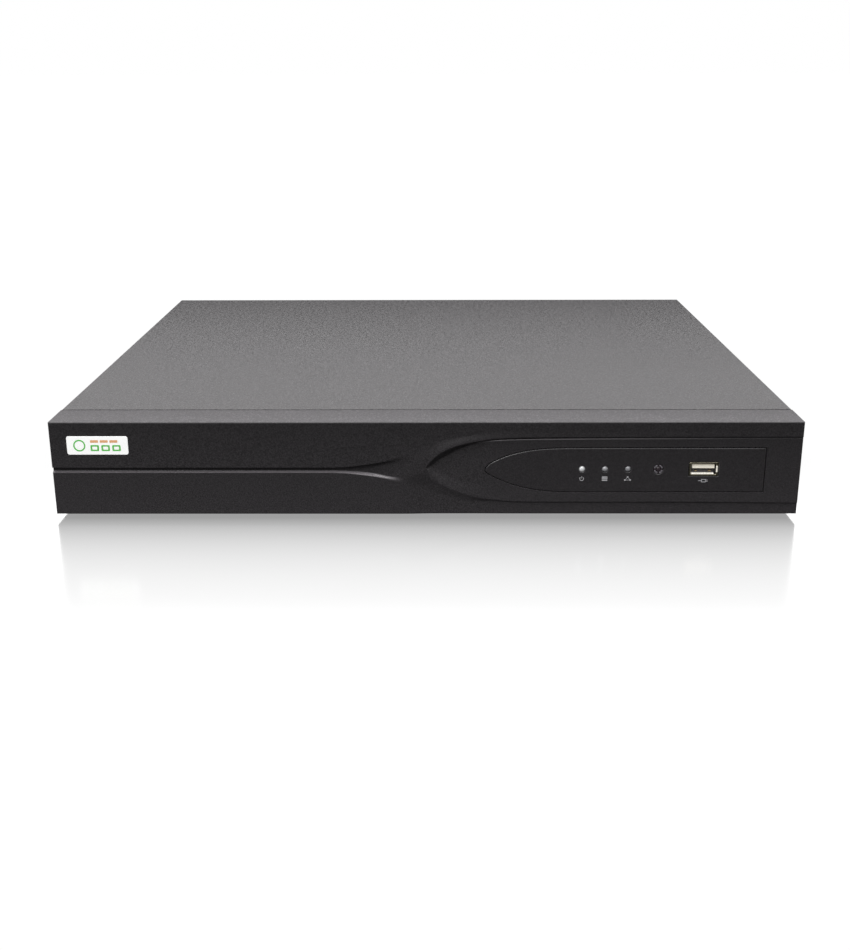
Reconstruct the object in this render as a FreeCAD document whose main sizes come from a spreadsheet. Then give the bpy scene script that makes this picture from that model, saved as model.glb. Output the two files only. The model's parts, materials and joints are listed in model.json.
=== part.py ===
"""Two-bay network video recorder, 1U desktop case.

Frame, millimetres: +X to the right seen from the front, +Y to the back,
+Z up. The origin is the centre of the footprint on the plane the feet rest on.
The case is a steel tray with a lift-off steel cover and a moulded front bezel.
"""
import FreeCAD
import Part
import Sketcher
import math
import os

Vector = FreeCAD.Vector
Rotation = FreeCAD.Rotation
doc = FreeCAD.newDocument("recorder")
sheet = doc.addObject("Spreadsheet::Sheet", "dims")
aliases = []
nodes = []


class Dim:
    """A number together with the sheet expression that gives it."""

    def __init__(self, value, expr):
        self.value = float(value)
        self.expr = expr

    def __add__(self, other):
        return joined(self, "+", other, self.value + val(other))

    def __radd__(self, other):
        return joined(other, "+", self, val(other) + self.value)

    def __sub__(self, other):
        return joined(self, "-", other, self.value - val(other))

    def __rsub__(self, other):
        return joined(other, "-", self, val(other) - self.value)

    def __mul__(self, other):
        return joined(self, "*", other, self.value * val(other))

    def __truediv__(self, other):
        return joined(self, "/", other, self.value / val(other))

    def __neg__(self):
        return Dim(-self.value, "(0 - %s)" % self.expr)


def joined(left, sign, right, value):
    return Dim(value, "(%s %s %s)" % (txt(left), sign, txt(right)))


def val(x):
    return x.value if isinstance(x, Dim) else float(x)


def txt(x):
    if isinstance(x, Dim):
        return x.expr
    return "(%.6f)" % x if x < 0 else "%.6f" % x


def dim(alias, value, note):
    """Writes one row of the sheet and returns its value as a Dim."""
    aliases.append(alias)
    row = len(aliases)
    sheet.set("A%d" % row, alias)
    sheet.set("B%d" % row, str(value))
    sheet.set("C%d" % row, note)
    sheet.setAlias("B%d" % row, alias)
    return Dim(value, "dims." + alias)


# ---------------------------------------------------------------- dimensions
case_w = dim("body_width", 380, "case width")
case_h = dim("body_height", 49, "case height without feet")
front = dim("front_plane", -175, "front face of the bezel")
rear = dim("rear_plane", 165, "outer face of the rear panel")
foot_h = dim("foot_height", 3, "case underside above the table")
steel = dim("sheet_thick", 1, "steel sheet")
bezel_d = dim("bezel_depth", 24, "bezel, front to back")
bezel_side = dim("bezel_wall", 2, "bezel returns")
bezel_face = dim("bezel_front_wall", 2.2, "bezel front wall")
seam = dim("seam_gap", 0.6, "gap between bezel and cover")
slip = dim("slip_gap", 0.2, "gap between cover and tray sides")
flange_h = dim("tray_flange", 12, "tray side flange height")
cover_flange = dim("cover_rear_flange", 8, "cover flange outside the rear panel")
hook_w = dim("hook_width", 12, "bezel snap hook")
leaf_depth = dim("leaf_recess", 0.3, "recess of the leaf area")
leaf_top = dim("leaf_top", 41.1, "leaf outline above the case underside")
leaf_low = dim("leaf_low", 6.7, "leaf outline, lower edge")
panel_top = dim("insert_top", 35.3, "indicator panel top edge")
panel_low = dim("insert_low", 12.1, "indicator panel lower edge")
panel_tip = dim("insert_nose", 30.4, "indicator panel left tip")
panel_end = dim("insert_end", 171.8, "indicator panel right end")
groove_rise = dim("groove_height", 23.9, "centre of the front groove")
lamp_rise = dim("lamp_height", 24.2, "lamps above the case underside")
lamp_x = dim("lamp_first", 79.4, "first lamp")
lamp_pitch = dim("lamp_pitch", 11.65, "lamp spacing")
lamp_r = dim("lamp_radius", 1.5, "light pipe radius")
eye_x = dim("receiver_place", 118.1, "infrared window")
usb_x = dim("front_port_place", 141, "front port centre")
badge_x = dim("badge_place", -165.8, "badge centre")
badge_rise = dim("badge_height", 37, "badge centre above the underside")
badge_w = dim("badge_width", 31, "badge")
badge_h = dim("badge_tall", 9.6, "badge")
pcb_t = dim("board_thick", 1.6, "circuit boards")
pcb_z = dim("board_lift", 10, "main board underside above the table")
drive_w = dim("drive_width", 101.6, "3.5 inch drive")
drive_l = dim("drive_length", 147, "3.5 inch drive")
drive_h = dim("drive_height", 26.1, "3.5 inch drive")
drive_y = dim("drive_front", -138, "front end of the drives")
left_drive_x = dim("drive_left_place", -125, "left drive centre")
right_drive_x = dim("drive_right_place", -10, "right drive centre")
disk_r = dim("disk_radius", 47.5, "platter radius")
hub_r = dim("hub_radius", 12.5, "spindle hub")
pin_r = dim("pin_radius", 3, "spindle and pivot pins")
run_gap = dim("running_gap", 0.05, "running clearance")
fan_x = dim("fan_place", -160, "fan centre")
fan_z = dim("fan_height", 24.2, "fan centre above the table")
fan_size = dim("fan_size", 40, "fan frame")
fan_depth = dim("fan_depth", 10, "fan frame")
fan_pitch = dim("fan_screw_pitch", 32, "fan screw spacing")
switch_x = dim("switch_place", 152, "rocker switch centre")
switch_z = dim("switch_height", 27.5, "rocker switch centre")
jack_r = dim("audio_barrel", 4.15, "audio jack outer radius")
foot_x = dim("foot_place_across", 160, "feet from the centre")
foot_y = dim("foot_place_along", 130, "feet from the centre")
foot_r = dim("foot_radius", 8, "foot")
screw_r = dim("screw_radius", 1.4, "M3 thread")
head_r = dim("screw_head_radius", 3, "M3 head")
doc.recompute()

half_w = case_w / 2
case_low = foot_h
case_top = foot_h + case_h
tray_half = half_w - steel - slip
tray_front = front + bezel_d + 0.4
wall_y = rear - steel
floor_z = foot_h + steel
wall_top = case_top - steel - 0.1
cover_front = front + bezel_d + seam
cover_half = half_w - steel
deck = pcb_z + pcb_t  # top of the main board
lamp_z = case_low + lamp_rise
badge_z = case_low + badge_rise
seat_h = 3  # raised drive seats on the tray floor
board_y = -160.6  # front face of the front board

# places shared by several pieces
hooks_x = (-150, -50, 50, 150)
rear_screws_x = (-150, 0, 150)
rear_screw_z = case_top - 4.5
side_screws_y = (-100, 100)
side_screw_z = case_low + 6
feet_spots = [(foot_x * i, foot_y * j) for i in (-1, 1) for j in (-1, 1)]
fan_spots = [(fan_x + fan_pitch * (0.5 * i), fan_z + fan_pitch * (0.5 * j))
             for i in (-1, 1) for j in (-1, 1)]
post_spots = [(x, case_low + rise) for x in (60, 165) for rise in (7.5, 40.5)]
lamps_x = [lamp_x + lamp_pitch * k for k in range(3)]

# rear panel connectors, centres
earth_x, earth_z = -128, 15.0
jacks_x, jack_z = (-98, -82), 18.1
vga_x, vga_z = -52.0, 18.5
vga_screws_x = (vga_x - 12.5, vga_x + 12.5)
video_x, video_z = -22, 14.9
lans_x = (24, 42)
terminal_x = 76.0
inlet_x = 112
ribbon_x = 105  # front board socket, its cable and the main board header
usb_pins = (-3.5, -1.0, 1.0, 3.5)


def drive_spots(centre):
    """The four screw places under a drive."""
    return [(centre + across, drive_y + drive_l - back)
            for across in (-47.6, 47.6) for back in (41.3, 85.7)]


drive_holes = drive_spots(left_drive_x) + drive_spots(right_drive_x)


# ------------------------------------------------------------ solid helpers
def bind(obj, prop, x):
    setattr(obj, prop, val(x))
    if isinstance(x, Dim):
        obj.setExpression(prop, x.expr)


def place(obj, x, y, z, rotation=None):
    obj.Placement = FreeCAD.Placement(Vector(val(x), val(y), val(z)), rotation or Rotation())
    for axis, value in (("x", x), ("y", y), ("z", z)):
        if isinstance(value, Dim):
            obj.setExpression("Placement.Base." + axis, value.expr)


def solid(kind, name, x, y, z, rotation=None, **sizes):
    obj = doc.addObject("Part::" + kind, name)
    for prop, size in sizes.items():
        bind(obj, prop, size)
    place(obj, x, y, z, rotation)
    return obj


def box(x0, x1, y0, y1, z0, z1):
    return solid("Box", "block", x0, y0, z0, Length=x1 - x0, Width=y1 - y0, Height=z1 - z0)


def mid_box(x, half_x, y0, y1, z0, z1):
    """A box centred on x."""
    return box(x - half_x, x + half_x, y0, y1, z0, z1)


def face_box(x, half_x, y0, y1, z, half_z):
    """A box centred on x and z."""
    return mid_box(x, half_x, y0, y1, z - half_z, z + half_z)


AXES = {"x": Rotation(Vector(0, 1, 0), 90), "y": Rotation(Vector(1, 0, 0), -90), "z": Rotation()}


def rod(r, x, y, z, length, axis="z"):
    """A cylinder that starts at x, y, z and runs along +axis."""
    return solid("Cylinder", "round", x, y, z, AXES[axis], Radius=r, Height=length)


def cone(r1, r2, x, y, z, length, axis="z"):
    return solid("Cone", "taper", x, y, z, AXES[axis], Radius1=r1, Radius2=r2, Height=length)


def ball(r, x, y, z):
    return solid("Sphere", "dome", x, y, z, Radius=r)


def cross(axis, x, y, z, depth, reach, half):
    """Two crossing bars that start at x, y, z and run depth along +axis."""
    along = "xyz".index(axis)
    bars = []
    for spread in ([reach, half], [half, reach]):
        spread.insert(along, 0)
        low = [mid - size for mid, size in zip((x, y, z), spread)]
        high = [mid + size for mid, size in zip((x, y, z), spread)]
        high[along] = low[along] + depth
        bars.append(box(low[0], high[0], low[1], high[1], low[2], high[2]))
    return bars


def fuse(items, name="joined"):
    if len(items) == 1:
        return items[0]
    obj = doc.addObject("Part::MultiFuse", name)
    obj.Shapes = items
    return obj


def cut(base, tools, name="cut"):
    obj = doc.addObject("Part::Cut", name)
    obj.Base = base
    obj.Tool = fuse(tools, "tools") if isinstance(tools, list) else tools
    return obj


def common(first, second):
    obj = doc.addObject("Part::Common", "common")
    obj.Base = first
    obj.Tool = second
    return obj


def group(items, name="group"):
    obj = doc.addObject("Part::Compound", name)
    obj.Links = items
    return obj


def node(obj, label):
    """Registers a finished sub-part under the name of its file."""
    obj.Label = label
    nodes.append((label, obj))


def made(shape, name):
    """A free-form piece."""
    obj = doc.addObject("Part::Feature", name)
    obj.Shape = shape
    return obj


def extruded(points, run, name):
    """A flat outline, closed from last point to first, run out along a vector."""
    wire = Part.makePolygon(points + [points[0]])
    return made(Part.Face(wire).extrude(run), name)


def prism_y(points, y0, y1, x, z):
    """A straight piece along Y; points are X and Z offsets from x, z."""
    outline = [Vector(x + dx, val(y0), z + dz) for dx, dz in points]
    return extruded(outline, Vector(0, val(y1) - val(y0), 0), "profile")


def spline_through(points):
    curve = Part.BSplineCurve()
    curve.interpolate(points)
    return curve


def pipe(points, r, name):
    """A round wire through points."""
    points = [Vector(*map(val, point)) for point in points]
    spline = spline_through(points)
    tangent = spline.tangent(spline.FirstParameter)[0]
    ring = Part.Wire([Part.Edge(Part.Circle(points[0], tangent, r))])
    return made(Part.Wire([spline.toShape()]).makePipeShell([ring], True, True), name)


def ribbon(points, width, thick, x):
    """A flat cable along a path of Y, Z points, centred across on x."""
    sides = ([], [])
    for i, (y, z) in enumerate(points):
        before = points[max(i - 1, 0)]
        after = points[min(i + 1, len(points) - 1)]
        size = math.dist(before, after)
        shift_y = -(after[1] - before[1]) / size * thick / 2
        shift_z = (after[0] - before[0]) / size * thick / 2
        for side, sign in zip(sides, (1, -1)):
            side.append(Vector(x - width / 2, y + sign * shift_y, z + sign * shift_z))
    left, right = sides
    start = Part.makeLine(left[0], right[0])
    end = Part.makeLine(left[-1], right[-1])
    left_edge, right_edge = [spline_through(side).toShape() for side in sides]
    edges = Part.__sortEdges__([left_edge, end, right_edge, start])
    return made(Part.Face(Part.Wire(edges)).extrude(Vector(width, 0, 0)), "ribbon")


# ----------------------------------------------------------- sketch helpers
def body(name):
    return doc.addObject("PartDesign::Body", name)


def origin(owner, role):
    return next(item for item in owner.Origin.OriginFeatures if item.Role == role)


def hold(sketch, value, kind, *where):
    """Adds a dimension, through the sheet where its value comes from it."""
    index = sketch.addConstraint(Sketcher.Constraint(kind, *where, val(value)))
    if isinstance(value, Dim):
        sketch.renameConstraint(index, "c%d" % index)
        sketch.setExpression("Constraints.c%d" % index, value.expr)


def pin_point(sketch, line, end, x, y):
    hold(sketch, x, "DistanceX", -1, 1, line, end)
    hold(sketch, y, "DistanceY", -1, 1, line, end)


def add_line(sketch, start, end):
    ends = [Vector(val(x), val(y), 0) for x, y in (start, end)]
    return sketch.addGeometry(Part.LineSegment(*ends), False)


def outline(sketch, points):
    """A closed chain of lines, not dimensioned."""
    count = len(points)
    lines = [add_line(sketch, points[i], points[(i + 1) % count]) for i in range(count)]
    for i in range(count):
        after = lines[(i + 1) % count]
        sketch.addConstraint(Sketcher.Constraint("Coincident", lines[i], 2, after, 1))
    return lines


def poly(sketch, points):
    """A closed chain of lines with every corner dimensioned."""
    for line, (x, y) in zip(outline(sketch, points), points):
        pin_point(sketch, line, 1, x, y)


def rect(sketch, x0, x1, y0, y1):
    lines = outline(sketch, [(x0, y0), (x1, y0), (x1, y1), (x0, y1)])
    for i, kind in ((0, "Horizontal"), (2, "Horizontal"), (1, "Vertical"), (3, "Vertical")):
        sketch.addConstraint(Sketcher.Constraint(kind, lines[i]))
    pin_point(sketch, lines[0], 1, x0, y0)
    pin_point(sketch, lines[1], 2, x1, y1)


def circle(sketch, x, y, r):
    ring = Part.Circle(Vector(val(x), val(y), 0), Vector(0, 0, 1), val(r))
    index = sketch.addGeometry(ring, False)
    pin_point(sketch, index, 3, x, y)
    hold(sketch, r, "Radius", index)


def slot(sketch, x, y, half, r):
    """An upright slot with round ends, centred on x, y; half is centre to end centre."""
    ends = []
    for sign, start in ((1, 0), (-1, math.pi)):
        ring = Part.Circle(Vector(val(x), val(y) + sign * half, 0), Vector(0, 0, 1), r)
        ends.append(sketch.addGeometry(Part.ArcOfCircle(ring, start, start + math.pi), False))
    up, down = ends
    left = add_line(sketch, (x - r, y + half), (x - r, y - half))
    right = add_line(sketch, (x + r, y - half), (x + r, y + half))
    for first, second in ((up, left), (left, down), (down, right), (right, up)):
        sketch.addConstraint(Sketcher.Constraint("Coincident", first, 2, second, 1))
    pin_point(sketch, up, 3, x, y + half)
    pin_point(sketch, down, 3, x, y - half)
    hold(sketch, r, "Radius", up)


def feature(kind, owner, plane, offset, length, name, shapes):
    """A pad or pocket of a sketch at an offset along +X, +Y or +Z from a base plane.

    Each of shapes is a drawing function followed by its arguments.
    """
    sketch = owner.newObject("Sketcher::SketchObject", "profile")
    sketch.AttachmentSupport = [(origin(owner, plane + "_Plane"), "")]
    sketch.MapMode = "FlatFace"
    # the XZ plane faces -Y
    lift = offset * (-1 if plane == "XZ" else 1)
    sketch.AttachmentOffset = FreeCAD.Placement(Vector(0, 0, val(lift)), Rotation())
    if isinstance(lift, Dim):
        sketch.setExpression("AttachmentOffset.Base.z", lift.expr)
    for draw, *args in shapes:
        draw(sketch, *args)
    obj = owner.newObject("PartDesign::" + kind, name)
    obj.Profile = sketch
    bind(obj, "Length", length)
    return obj


def pad(owner, plane, offset, length, name, *shapes):
    """Runs towards +X, -Y or +Z."""
    return feature("Pad", owner, plane, offset, length, name, shapes)


def pocket(owner, plane, offset, length, name, *shapes, rev=False):
    """Runs towards -X, +Y or -Z, or the other way with rev."""
    obj = feature("Pocket", owner, plane, offset, length, name, shapes)
    obj.Reversed = rev
    return obj


def pattern(owner, original, axis, length, count, name):
    obj = owner.newObject("PartDesign::LinearPattern", name)
    obj.Originals = [original]
    obj.Direction = (origin(owner, axis), [""])
    bind(obj, "Length", length)
    obj.Occurrences = count
    owner.Tip = obj


def near(first, second):
    return abs(first - val(second)) < 0.01


def round_edges(owner, name, radius, chosen):
    """Fillets the edges whose bounding box passes chosen."""
    doc.recompute()
    base = owner.Tip
    names = ["Edge%d" % (k + 1) for k, edge in enumerate(base.Shape.Edges)
             if chosen(edge.BoundBox)]
    obj = owner.newObject("PartDesign::Fillet", name)
    obj.Base = (base, names)
    obj.Radius = radius


def hook_rects(half, inset, far):
    """Rectangles at each hook, from inset to far inside the case top and underside."""
    shapes = []
    for x in hooks_x:
        shapes.append((rect, x - half, x + half, case_top - far, case_top - inset))
        shapes.append((rect, x - half, x + half, case_low + inset, case_low + far))
    return shapes


# ------------------------------------------------------------- chassis tray
tray = body("TrayBody")
wall = (rect, -tray_half, tray_half, floor_z, wall_top)
pad(tray, "XY", case_low, steel, "floor", (rect, -tray_half, tray_half, tray_front, rear))
pad(tray, "XZ", rear, steel, "rear_panel", wall)
pad(tray, "XZ", tray_front + steel, steel, "front_panel", wall)
for x in (-tray_half, tray_half - steel):
    pad(tray, "YZ", x, steel, "side_flange",
        (rect, tray_front, rear, floor_z, floor_z + flange_h))
# raised seats for the drives, with clearance holes through them
pad(tray, "XY", floor_z, seat_h, "drive_seats", *[(circle, x, y, 3.0) for x, y in drive_holes])
pocket(tray, "XY", floor_z + seat_h, 5, "drive_clearance_holes",
       *[(circle, x, y, 1.8) for x, y in drive_holes])
pocket(tray, "XY", floor_z, 2, "foot_holes", *[(circle, x, y, 2.0) for x, y in feet_spots])
# floor vents under the drives
for side, x in (("left", left_drive_x), ("right", right_drive_x)):
    vent = pocket(tray, "XY", floor_z, 2, "floor_vent_" + side, (slot, x - 30, -95.0, 9.0, 1.5))
    pattern(tray, vent, "X_Axis", 60, 11, "floor_vents_" + side)


def wall_cut(name, *shapes):
    """Openings through the rear panel."""
    return pocket(tray, "XZ", wall_y - 0.5, 2, name, *shapes)


wall_cut("connector_openings",
         *[(circle, x, jack_z, 5.1) for x in jacks_x],
         (rect, vga_x - 9.1, vga_x + 9.1, vga_z - 4.8, vga_z + 4.8),
         *[(circle, x, vga_z, 2.0) for x in vga_screws_x],
         (rect, video_x - 7.7, video_x + 7.7, video_z - 3.1, video_z + 3.1),
         (rect, -7.2, 7.2, 11.3, 27.9),  # stacked serial bus ports
         *[(rect, x - 8.3, x + 8.3, 11.5, 25.7) for x in lans_x],
         (rect, terminal_x - 17.5, terminal_x + 17.5, 11.4, 20.0),
         (rect, inlet_x - 4.8, inlet_x + 4.8, 11.3, 23.3),
         (rect, switch_x - 6.5, switch_x + 6.5, switch_z - 9.5, switch_z + 9.5),
         (circle, earth_x, earth_z, 2.1),
         (rect, 174.5, 181.5, 13.0, 16.0))  # small opening at the right end
wall_cut("rear_screw_holes",
         *[(circle, x, z, 1.8) for x, z in fan_spots],
         *[(circle, x, rear_screw_z, screw_r + 0.05) for x in rear_screws_x])
# honeycomb of hexagons in front of the fan, inside a circle
grille_r = 16.9
hex_pitch = 4.3
hex_r = 3.5 / math.sqrt(3)
hexagons = []
for i in range(-5, 6):
    for j in range(-5, 6):
        dx = (i + 0.5 * (j % 2)) * hex_pitch
        dz = j * hex_pitch * math.sqrt(3) / 2
        if math.hypot(dx, dz) < grille_r:
            turns = [math.radians(30 + 60 * k) for k in range(6)]
            hexagons.append((outline, [(fan_x.value + dx + hex_r * math.cos(turn),
                                        fan_z.value + dz + hex_r * math.sin(turn))
                                       for turn in turns]))
wall_cut("fan_grille", *hexagons)
pattern(tray, wall_cut("rear_vent", (slot, -104, 36.0, 4.0, 1.25)), "X_Axis", 230, 47,
        "rear_vents")
# front panel: hook slots and the wiring window
pocket(tray, "XZ", tray_front - 0.5, 2, "hook_slots",
       *hook_rects(7, 3.5, 7.5), (rect, 92, 140, case_low + 11, case_low + 37))
# threaded holes for the side screws, through both flanges
pocket(tray, "YZ", -tray_half - 1, case_w + 4, "side_screw_holes",
       *[(circle, y, side_screw_z, screw_r + 0.05) for y in side_screws_y], rev=True)
node(tray, "chassis_tray")

# ------------------------------------------------------------------ top cover
cover = body("CoverBody")
cover_low = case_low + 1.2
cover_back = rear + 1.05
pad(cover, "XZ", cover_back, cover_back - cover_front, "cover_sheet",
    (poly, [(-half_w, cover_low), (-half_w, case_top),
            (half_w, case_top), (half_w, cover_low),
            (cover_half, cover_low), (cover_half, case_top - steel),
            (-cover_half, case_top - steel), (-cover_half, cover_low)]))
pad(cover, "XZ", cover_back, steel, "rear_flange",
    (rect, -cover_half, cover_half, case_top - steel - cover_flange, case_top - steel))


def notch(across, low, screw_z):
    """An upright notch, open at its foot, with a bevelled end over the screw."""
    return (poly, [(across - 1.8, low), (across + 1.8, low), (across + 1.8, screw_z + 1.1),
                   (across + 1.2, screw_z + 1.8), (across - 1.2, screw_z + 1.8),
                   (across - 1.8, screw_z + 1.1)])


# open-ended notches let the cover lift over its slackened screws
pocket(cover, "XZ", rear - 0.5, 3, "rear_notches",
       *[notch(x, 40, rear_screw_z) for x in rear_screws_x])
pocket(cover, "YZ", -half_w - 1, case_w + 4, "side_notches",
       *[notch(y, 2, side_screw_z) for y in side_screws_y], rev=True)
# side vents, cut through both sides at once
for end, y in (("front", -60.0), ("rear", 62.0)):
    vent = pocket(cover, "YZ", -half_w - 1, case_w + 4, "side_vent_" + end,
                  (slot, y, 30.0, 9.0, 1.5), rev=True)
    pattern(cover, vent, "Y_Axis", 72, 13, "side_vents_" + end)


def outer_bend(bound):
    """The two long top edges, left and right."""
    along_y = bound.YLength > 250 and bound.XLength < 0.01 and bound.ZLength < 0.01
    return along_y and near(abs(bound.XMin), half_w) and near(bound.ZMin, case_top)


round_edges(cover, "bend_outer", 0.7, outer_bend)
node(cover, "top_cover")

# --------------------------------------------------------------- cover screws
items = []
for x in rear_screws_x:
    solids = [rod(screw_r, x, rear - 6, rear_screw_z, 7.1, "y"),
              rod(head_r, x, rear + 1.1, rear_screw_z, 1.5, "y"),
              cone(head_r, head_r - 0.8, x, rear + 2.6, rear_screw_z, 0.6, "y")]
    items.append(cut(fuse(solids), cross("y", x, rear + 2.3, rear_screw_z, 1.1, 1.9, 0.3),
                     "rear_screw"))
# case side, then where shank, head and cross slots start from it
for side, shank, head, recess in ((-half_w, -0.05, -0.95, -1.5), (half_w, -6, 0.05, 0.45)):
    for y in side_screws_y:
        solids = [rod(screw_r, side + shank, y, side_screw_z, 6.05, "x"),
                  rod(head_r, side + head, y, side_screw_z, 0.9, "x")]
        items.append(cut(fuse(solids), cross("x", side + recess, y, side_screw_z, 1.05, 1.6, 0.3),
                         "side_screw"))
node(group(items), "cover_screws")


# ---------------------------------------------------------------- front bezel
def leaf_points(low, top, tip, full, end, count, power):
    """Closed outline with a pointed left end that swells until full, and a square right end.

    low and top are above the case underside; tip, full and end are along X.
    """
    middle = (val(low) + val(top)) / 2 + case_low.value
    half = (val(top) - val(low)) / 2
    upper, lower = [], []
    for k in range(1, count + 1):
        x = tip + (full - tip) * (1 - math.cos(k / count * math.pi / 2))
        share = (x - tip) / (full - tip)
        height = half * (1 - (1 - share) ** 2) ** power
        upper.append((x, middle + height))
        lower.append((x, middle - height))
    square_end = [(end, middle - half), (end, middle + half)]
    return [(tip, middle)] + lower + square_end + upper[::-1]


def swollen(points, gap):
    """The outline moved outwards by gap, less at the sharpest corners."""
    grown = []
    for i, here in enumerate(points):
        normals = []
        for start, end in ((points[i - 1], here), (here, points[(i + 1) % len(points)])):
            length = math.dist(start, end)
            normals.append(((end[1] - start[1]) / length, (start[0] - end[0]) / length))
        out_x = normals[0][0] + normals[1][0]
        out_z = normals[0][1] + normals[1][1]
        scale = 2 * gap / max(out_x ** 2 + out_z ** 2, 0.6)
        grown.append((here[0] + out_x * scale, here[1] + out_z * scale))
    return grown


def badge_rect(gap):
    return (rect, badge_x - badge_w / 2 - gap, badge_x + badge_w / 2 + gap,
            badge_z - badge_h / 2 - gap, badge_z + badge_h / 2 + gap)


leaf = leaf_points(leaf_low, leaf_top, 0.2, 62.0, 191.0, 14, 0.62)
panel_line = leaf_points(panel_low, panel_top, panel_tip.value, 70.0, panel_end.value, 12, 0.55)

bezel = body("BezelBody")
bezel_back = front + bezel_d
pad(bezel, "XZ", bezel_back, bezel_d, "bezel_block",
    (rect, -half_w, half_w, case_low, case_top))
# hollow from the back, leaving the front wall
pocket(bezel, "XZ", bezel_back, bezel_d - bezel_face, "bezel_hollow",
       (rect, -half_w + bezel_side, half_w - bezel_side,
        case_low + bezel_side, case_top - bezel_side), rev=True)
# shallow recess that carries the indicator panel
pocket(bezel, "XZ", front - 0.5, leaf_depth + 0.5, "leaf_recess", (outline, leaf))
pocket(bezel, "XZ", front - 0.5, bezel_face + 2, "panel_opening",
       (outline, swollen(panel_line, 0.15)))
# tapered groove across the left half, widest at the front face
groove_z = case_low + groove_rise
pocket(bezel, "YZ", -half_w - 1, 147, "front_groove",
       (poly, [(front - 0.4, groove_z + 1.6), (front + 1.3, groove_z + 0.2),
               (front + 1.3, groove_z - 0.2), (front - 0.4, groove_z - 1.6)]), rev=True)
# snap hooks through the tray's front panel
pad(bezel, "XZ", tray_front + 4, 10, "hook_arms", *hook_rects(hook_w / 2, 4.4, 6))
pad(bezel, "XZ", bezel_back - 3, 3, "hook_roots",
    *hook_rects(hook_w / 2, bezel_side - 0.5, 4.6))
pad(bezel, "XZ", tray_front + 4, 2.4, "hook_barbs", *hook_rects(hook_w / 2, 3.7, 4.6))
# posts that carry the front board
pad(bezel, "XZ", board_y, 12.6, "board_posts", *[(circle, x, z, 2.5) for x, z in post_spots])
pocket(bezel, "XZ", board_y - 6.5, 7, "post_holes", *[(circle, x, z, 1.2) for x, z in post_spots])
pocket(bezel, "XZ", front - 0.5, 0.8, "badge_seat", badge_rect(0.1))


def bezel_edge(bound):
    """Top and bottom rims of the front face, and the four long corner edges."""
    on_front = near(bound.YMin, front) and near(bound.YMax, front)
    level = bound.ZLength < 0.01
    rim = level and (near(bound.ZMin, case_low) or near(bound.ZMin, case_top))
    along_y = bound.YLength > 20 and bound.XLength < 0.01 and level
    return (on_front and rim and bound.XLength > 300) or (
        along_y and near(abs(bound.XMin), half_w))


round_edges(bezel, "bezel_edges", 0.6, bezel_edge)
node(bezel, "front_bezel")

# ------------------------------------------------- indicator panel and badge
panel = body("PanelBody")
pad(panel, "XZ", front + bezel_face, bezel_face - leaf_depth, "panel_plate",
    (outline, panel_line))
pad(panel, "XZ", front + bezel_face + 1.2, 1.2, "panel_rim", (outline, swollen(panel_line, 1.3)))
pocket(panel, "XZ", front - 1, 6, "panel_holes",
       *[(circle, x, lamp_z, lamp_r + 0.08) for x in lamps_x],
       (circle, eye_x, lamp_z, 2.58),
       (rect, usb_x - 7.7, usb_x + 7.7, lamp_z - 3.8, lamp_z + 3.8))
node(panel, "indicator_panel")

# blank badge in its seat on the bezel's upper left
badge = body("BadgeBody")
pad(badge, "XZ", front + 0.3, 0.6, "badge_plate", badge_rect(0))
round_edges(badge, "badge_corners", 1.0, lambda bound: bound.YLength > 0.5)
node(badge, "badge_plate")

# ---------------------------------------------- lamps, receiver, front port
pipe_y = front + 0.1 + lamp_r
for x, label in zip(lamps_x, ("power_light_pipe", "disk_light_pipe", "network_light_pipe")):
    tip = ball(lamp_r, x, pipe_y, lamp_z)
    stem = rod(lamp_r, x, pipe_y, lamp_z, 11.4, "y")
    collar = rod(lamp_r + 0.6, x, front + 3.6, lamp_z, 0.9, "y")
    node(fuse([tip, stem, collar], "light_pipe"), label)
lens = rod(2.5, eye_x, front + 0.9, lamp_z, 3.0, "y")
lens_rim = rod(3.3, eye_x, front + 3.45, lamp_z, 0.8, "y")
lens_bowl = rod(1.2, eye_x, front + 0.6, lamp_z, 0.6, "y")
node(cut(fuse([lens, lens_rim]), lens_bowl, "window"), "ir_window")
eye_body = mid_box(eye_x, 3.0, -168.0, -165.0, lamp_z - 3.6, lamp_z + 3.4)
eye = common(ball(2.4, eye_x, -168.0, lamp_z), face_box(eye_x, 3, -170.6, -167.9, lamp_z, 3))
legs = [mid_box(eye_x + dx, 0.3, -165.2, board_y, lamp_z - 3.2, lamp_z - 2.7)
        for dx in (-2.0, 0.0, 2.0)]
node(fuse([eye_body, eye] + legs, "receiver"), "ir_receiver")

shell = cut(face_box(usb_x, 6.6, front + 0.8, board_y, lamp_z, 3.0),
            face_box(usb_x, 6.3, front - 1, board_y - 3, lamp_z, 2.7))
lip = cut(face_box(usb_x, 7.5, front + 0.35, front + 0.8, lamp_z, 3.6),
          face_box(usb_x, 6.3, front - 1, front + 2, lamp_z, 2.7))
node(fuse([shell, lip], "port_shell"), "front_usb_shell")
tongue = mid_box(usb_x, 5.6, front + 1.4, board_y - 3, lamp_z + 0.2, lamp_z + 2.1)
grooves = [mid_box(usb_x + dx, 0.55, front + 1.9, board_y - 3.4, lamp_z + 0.1, lamp_z + 0.45)
           for dx in usb_pins]
node(cut(tongue, grooves, "port_tongue"), "front_usb_tongue")
contacts = [mid_box(usb_x + dx, 0.5, front + 2.0, board_y - 3.5, lamp_z + 0.1, lamp_z + 0.4)
            for dx in usb_pins]

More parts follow.
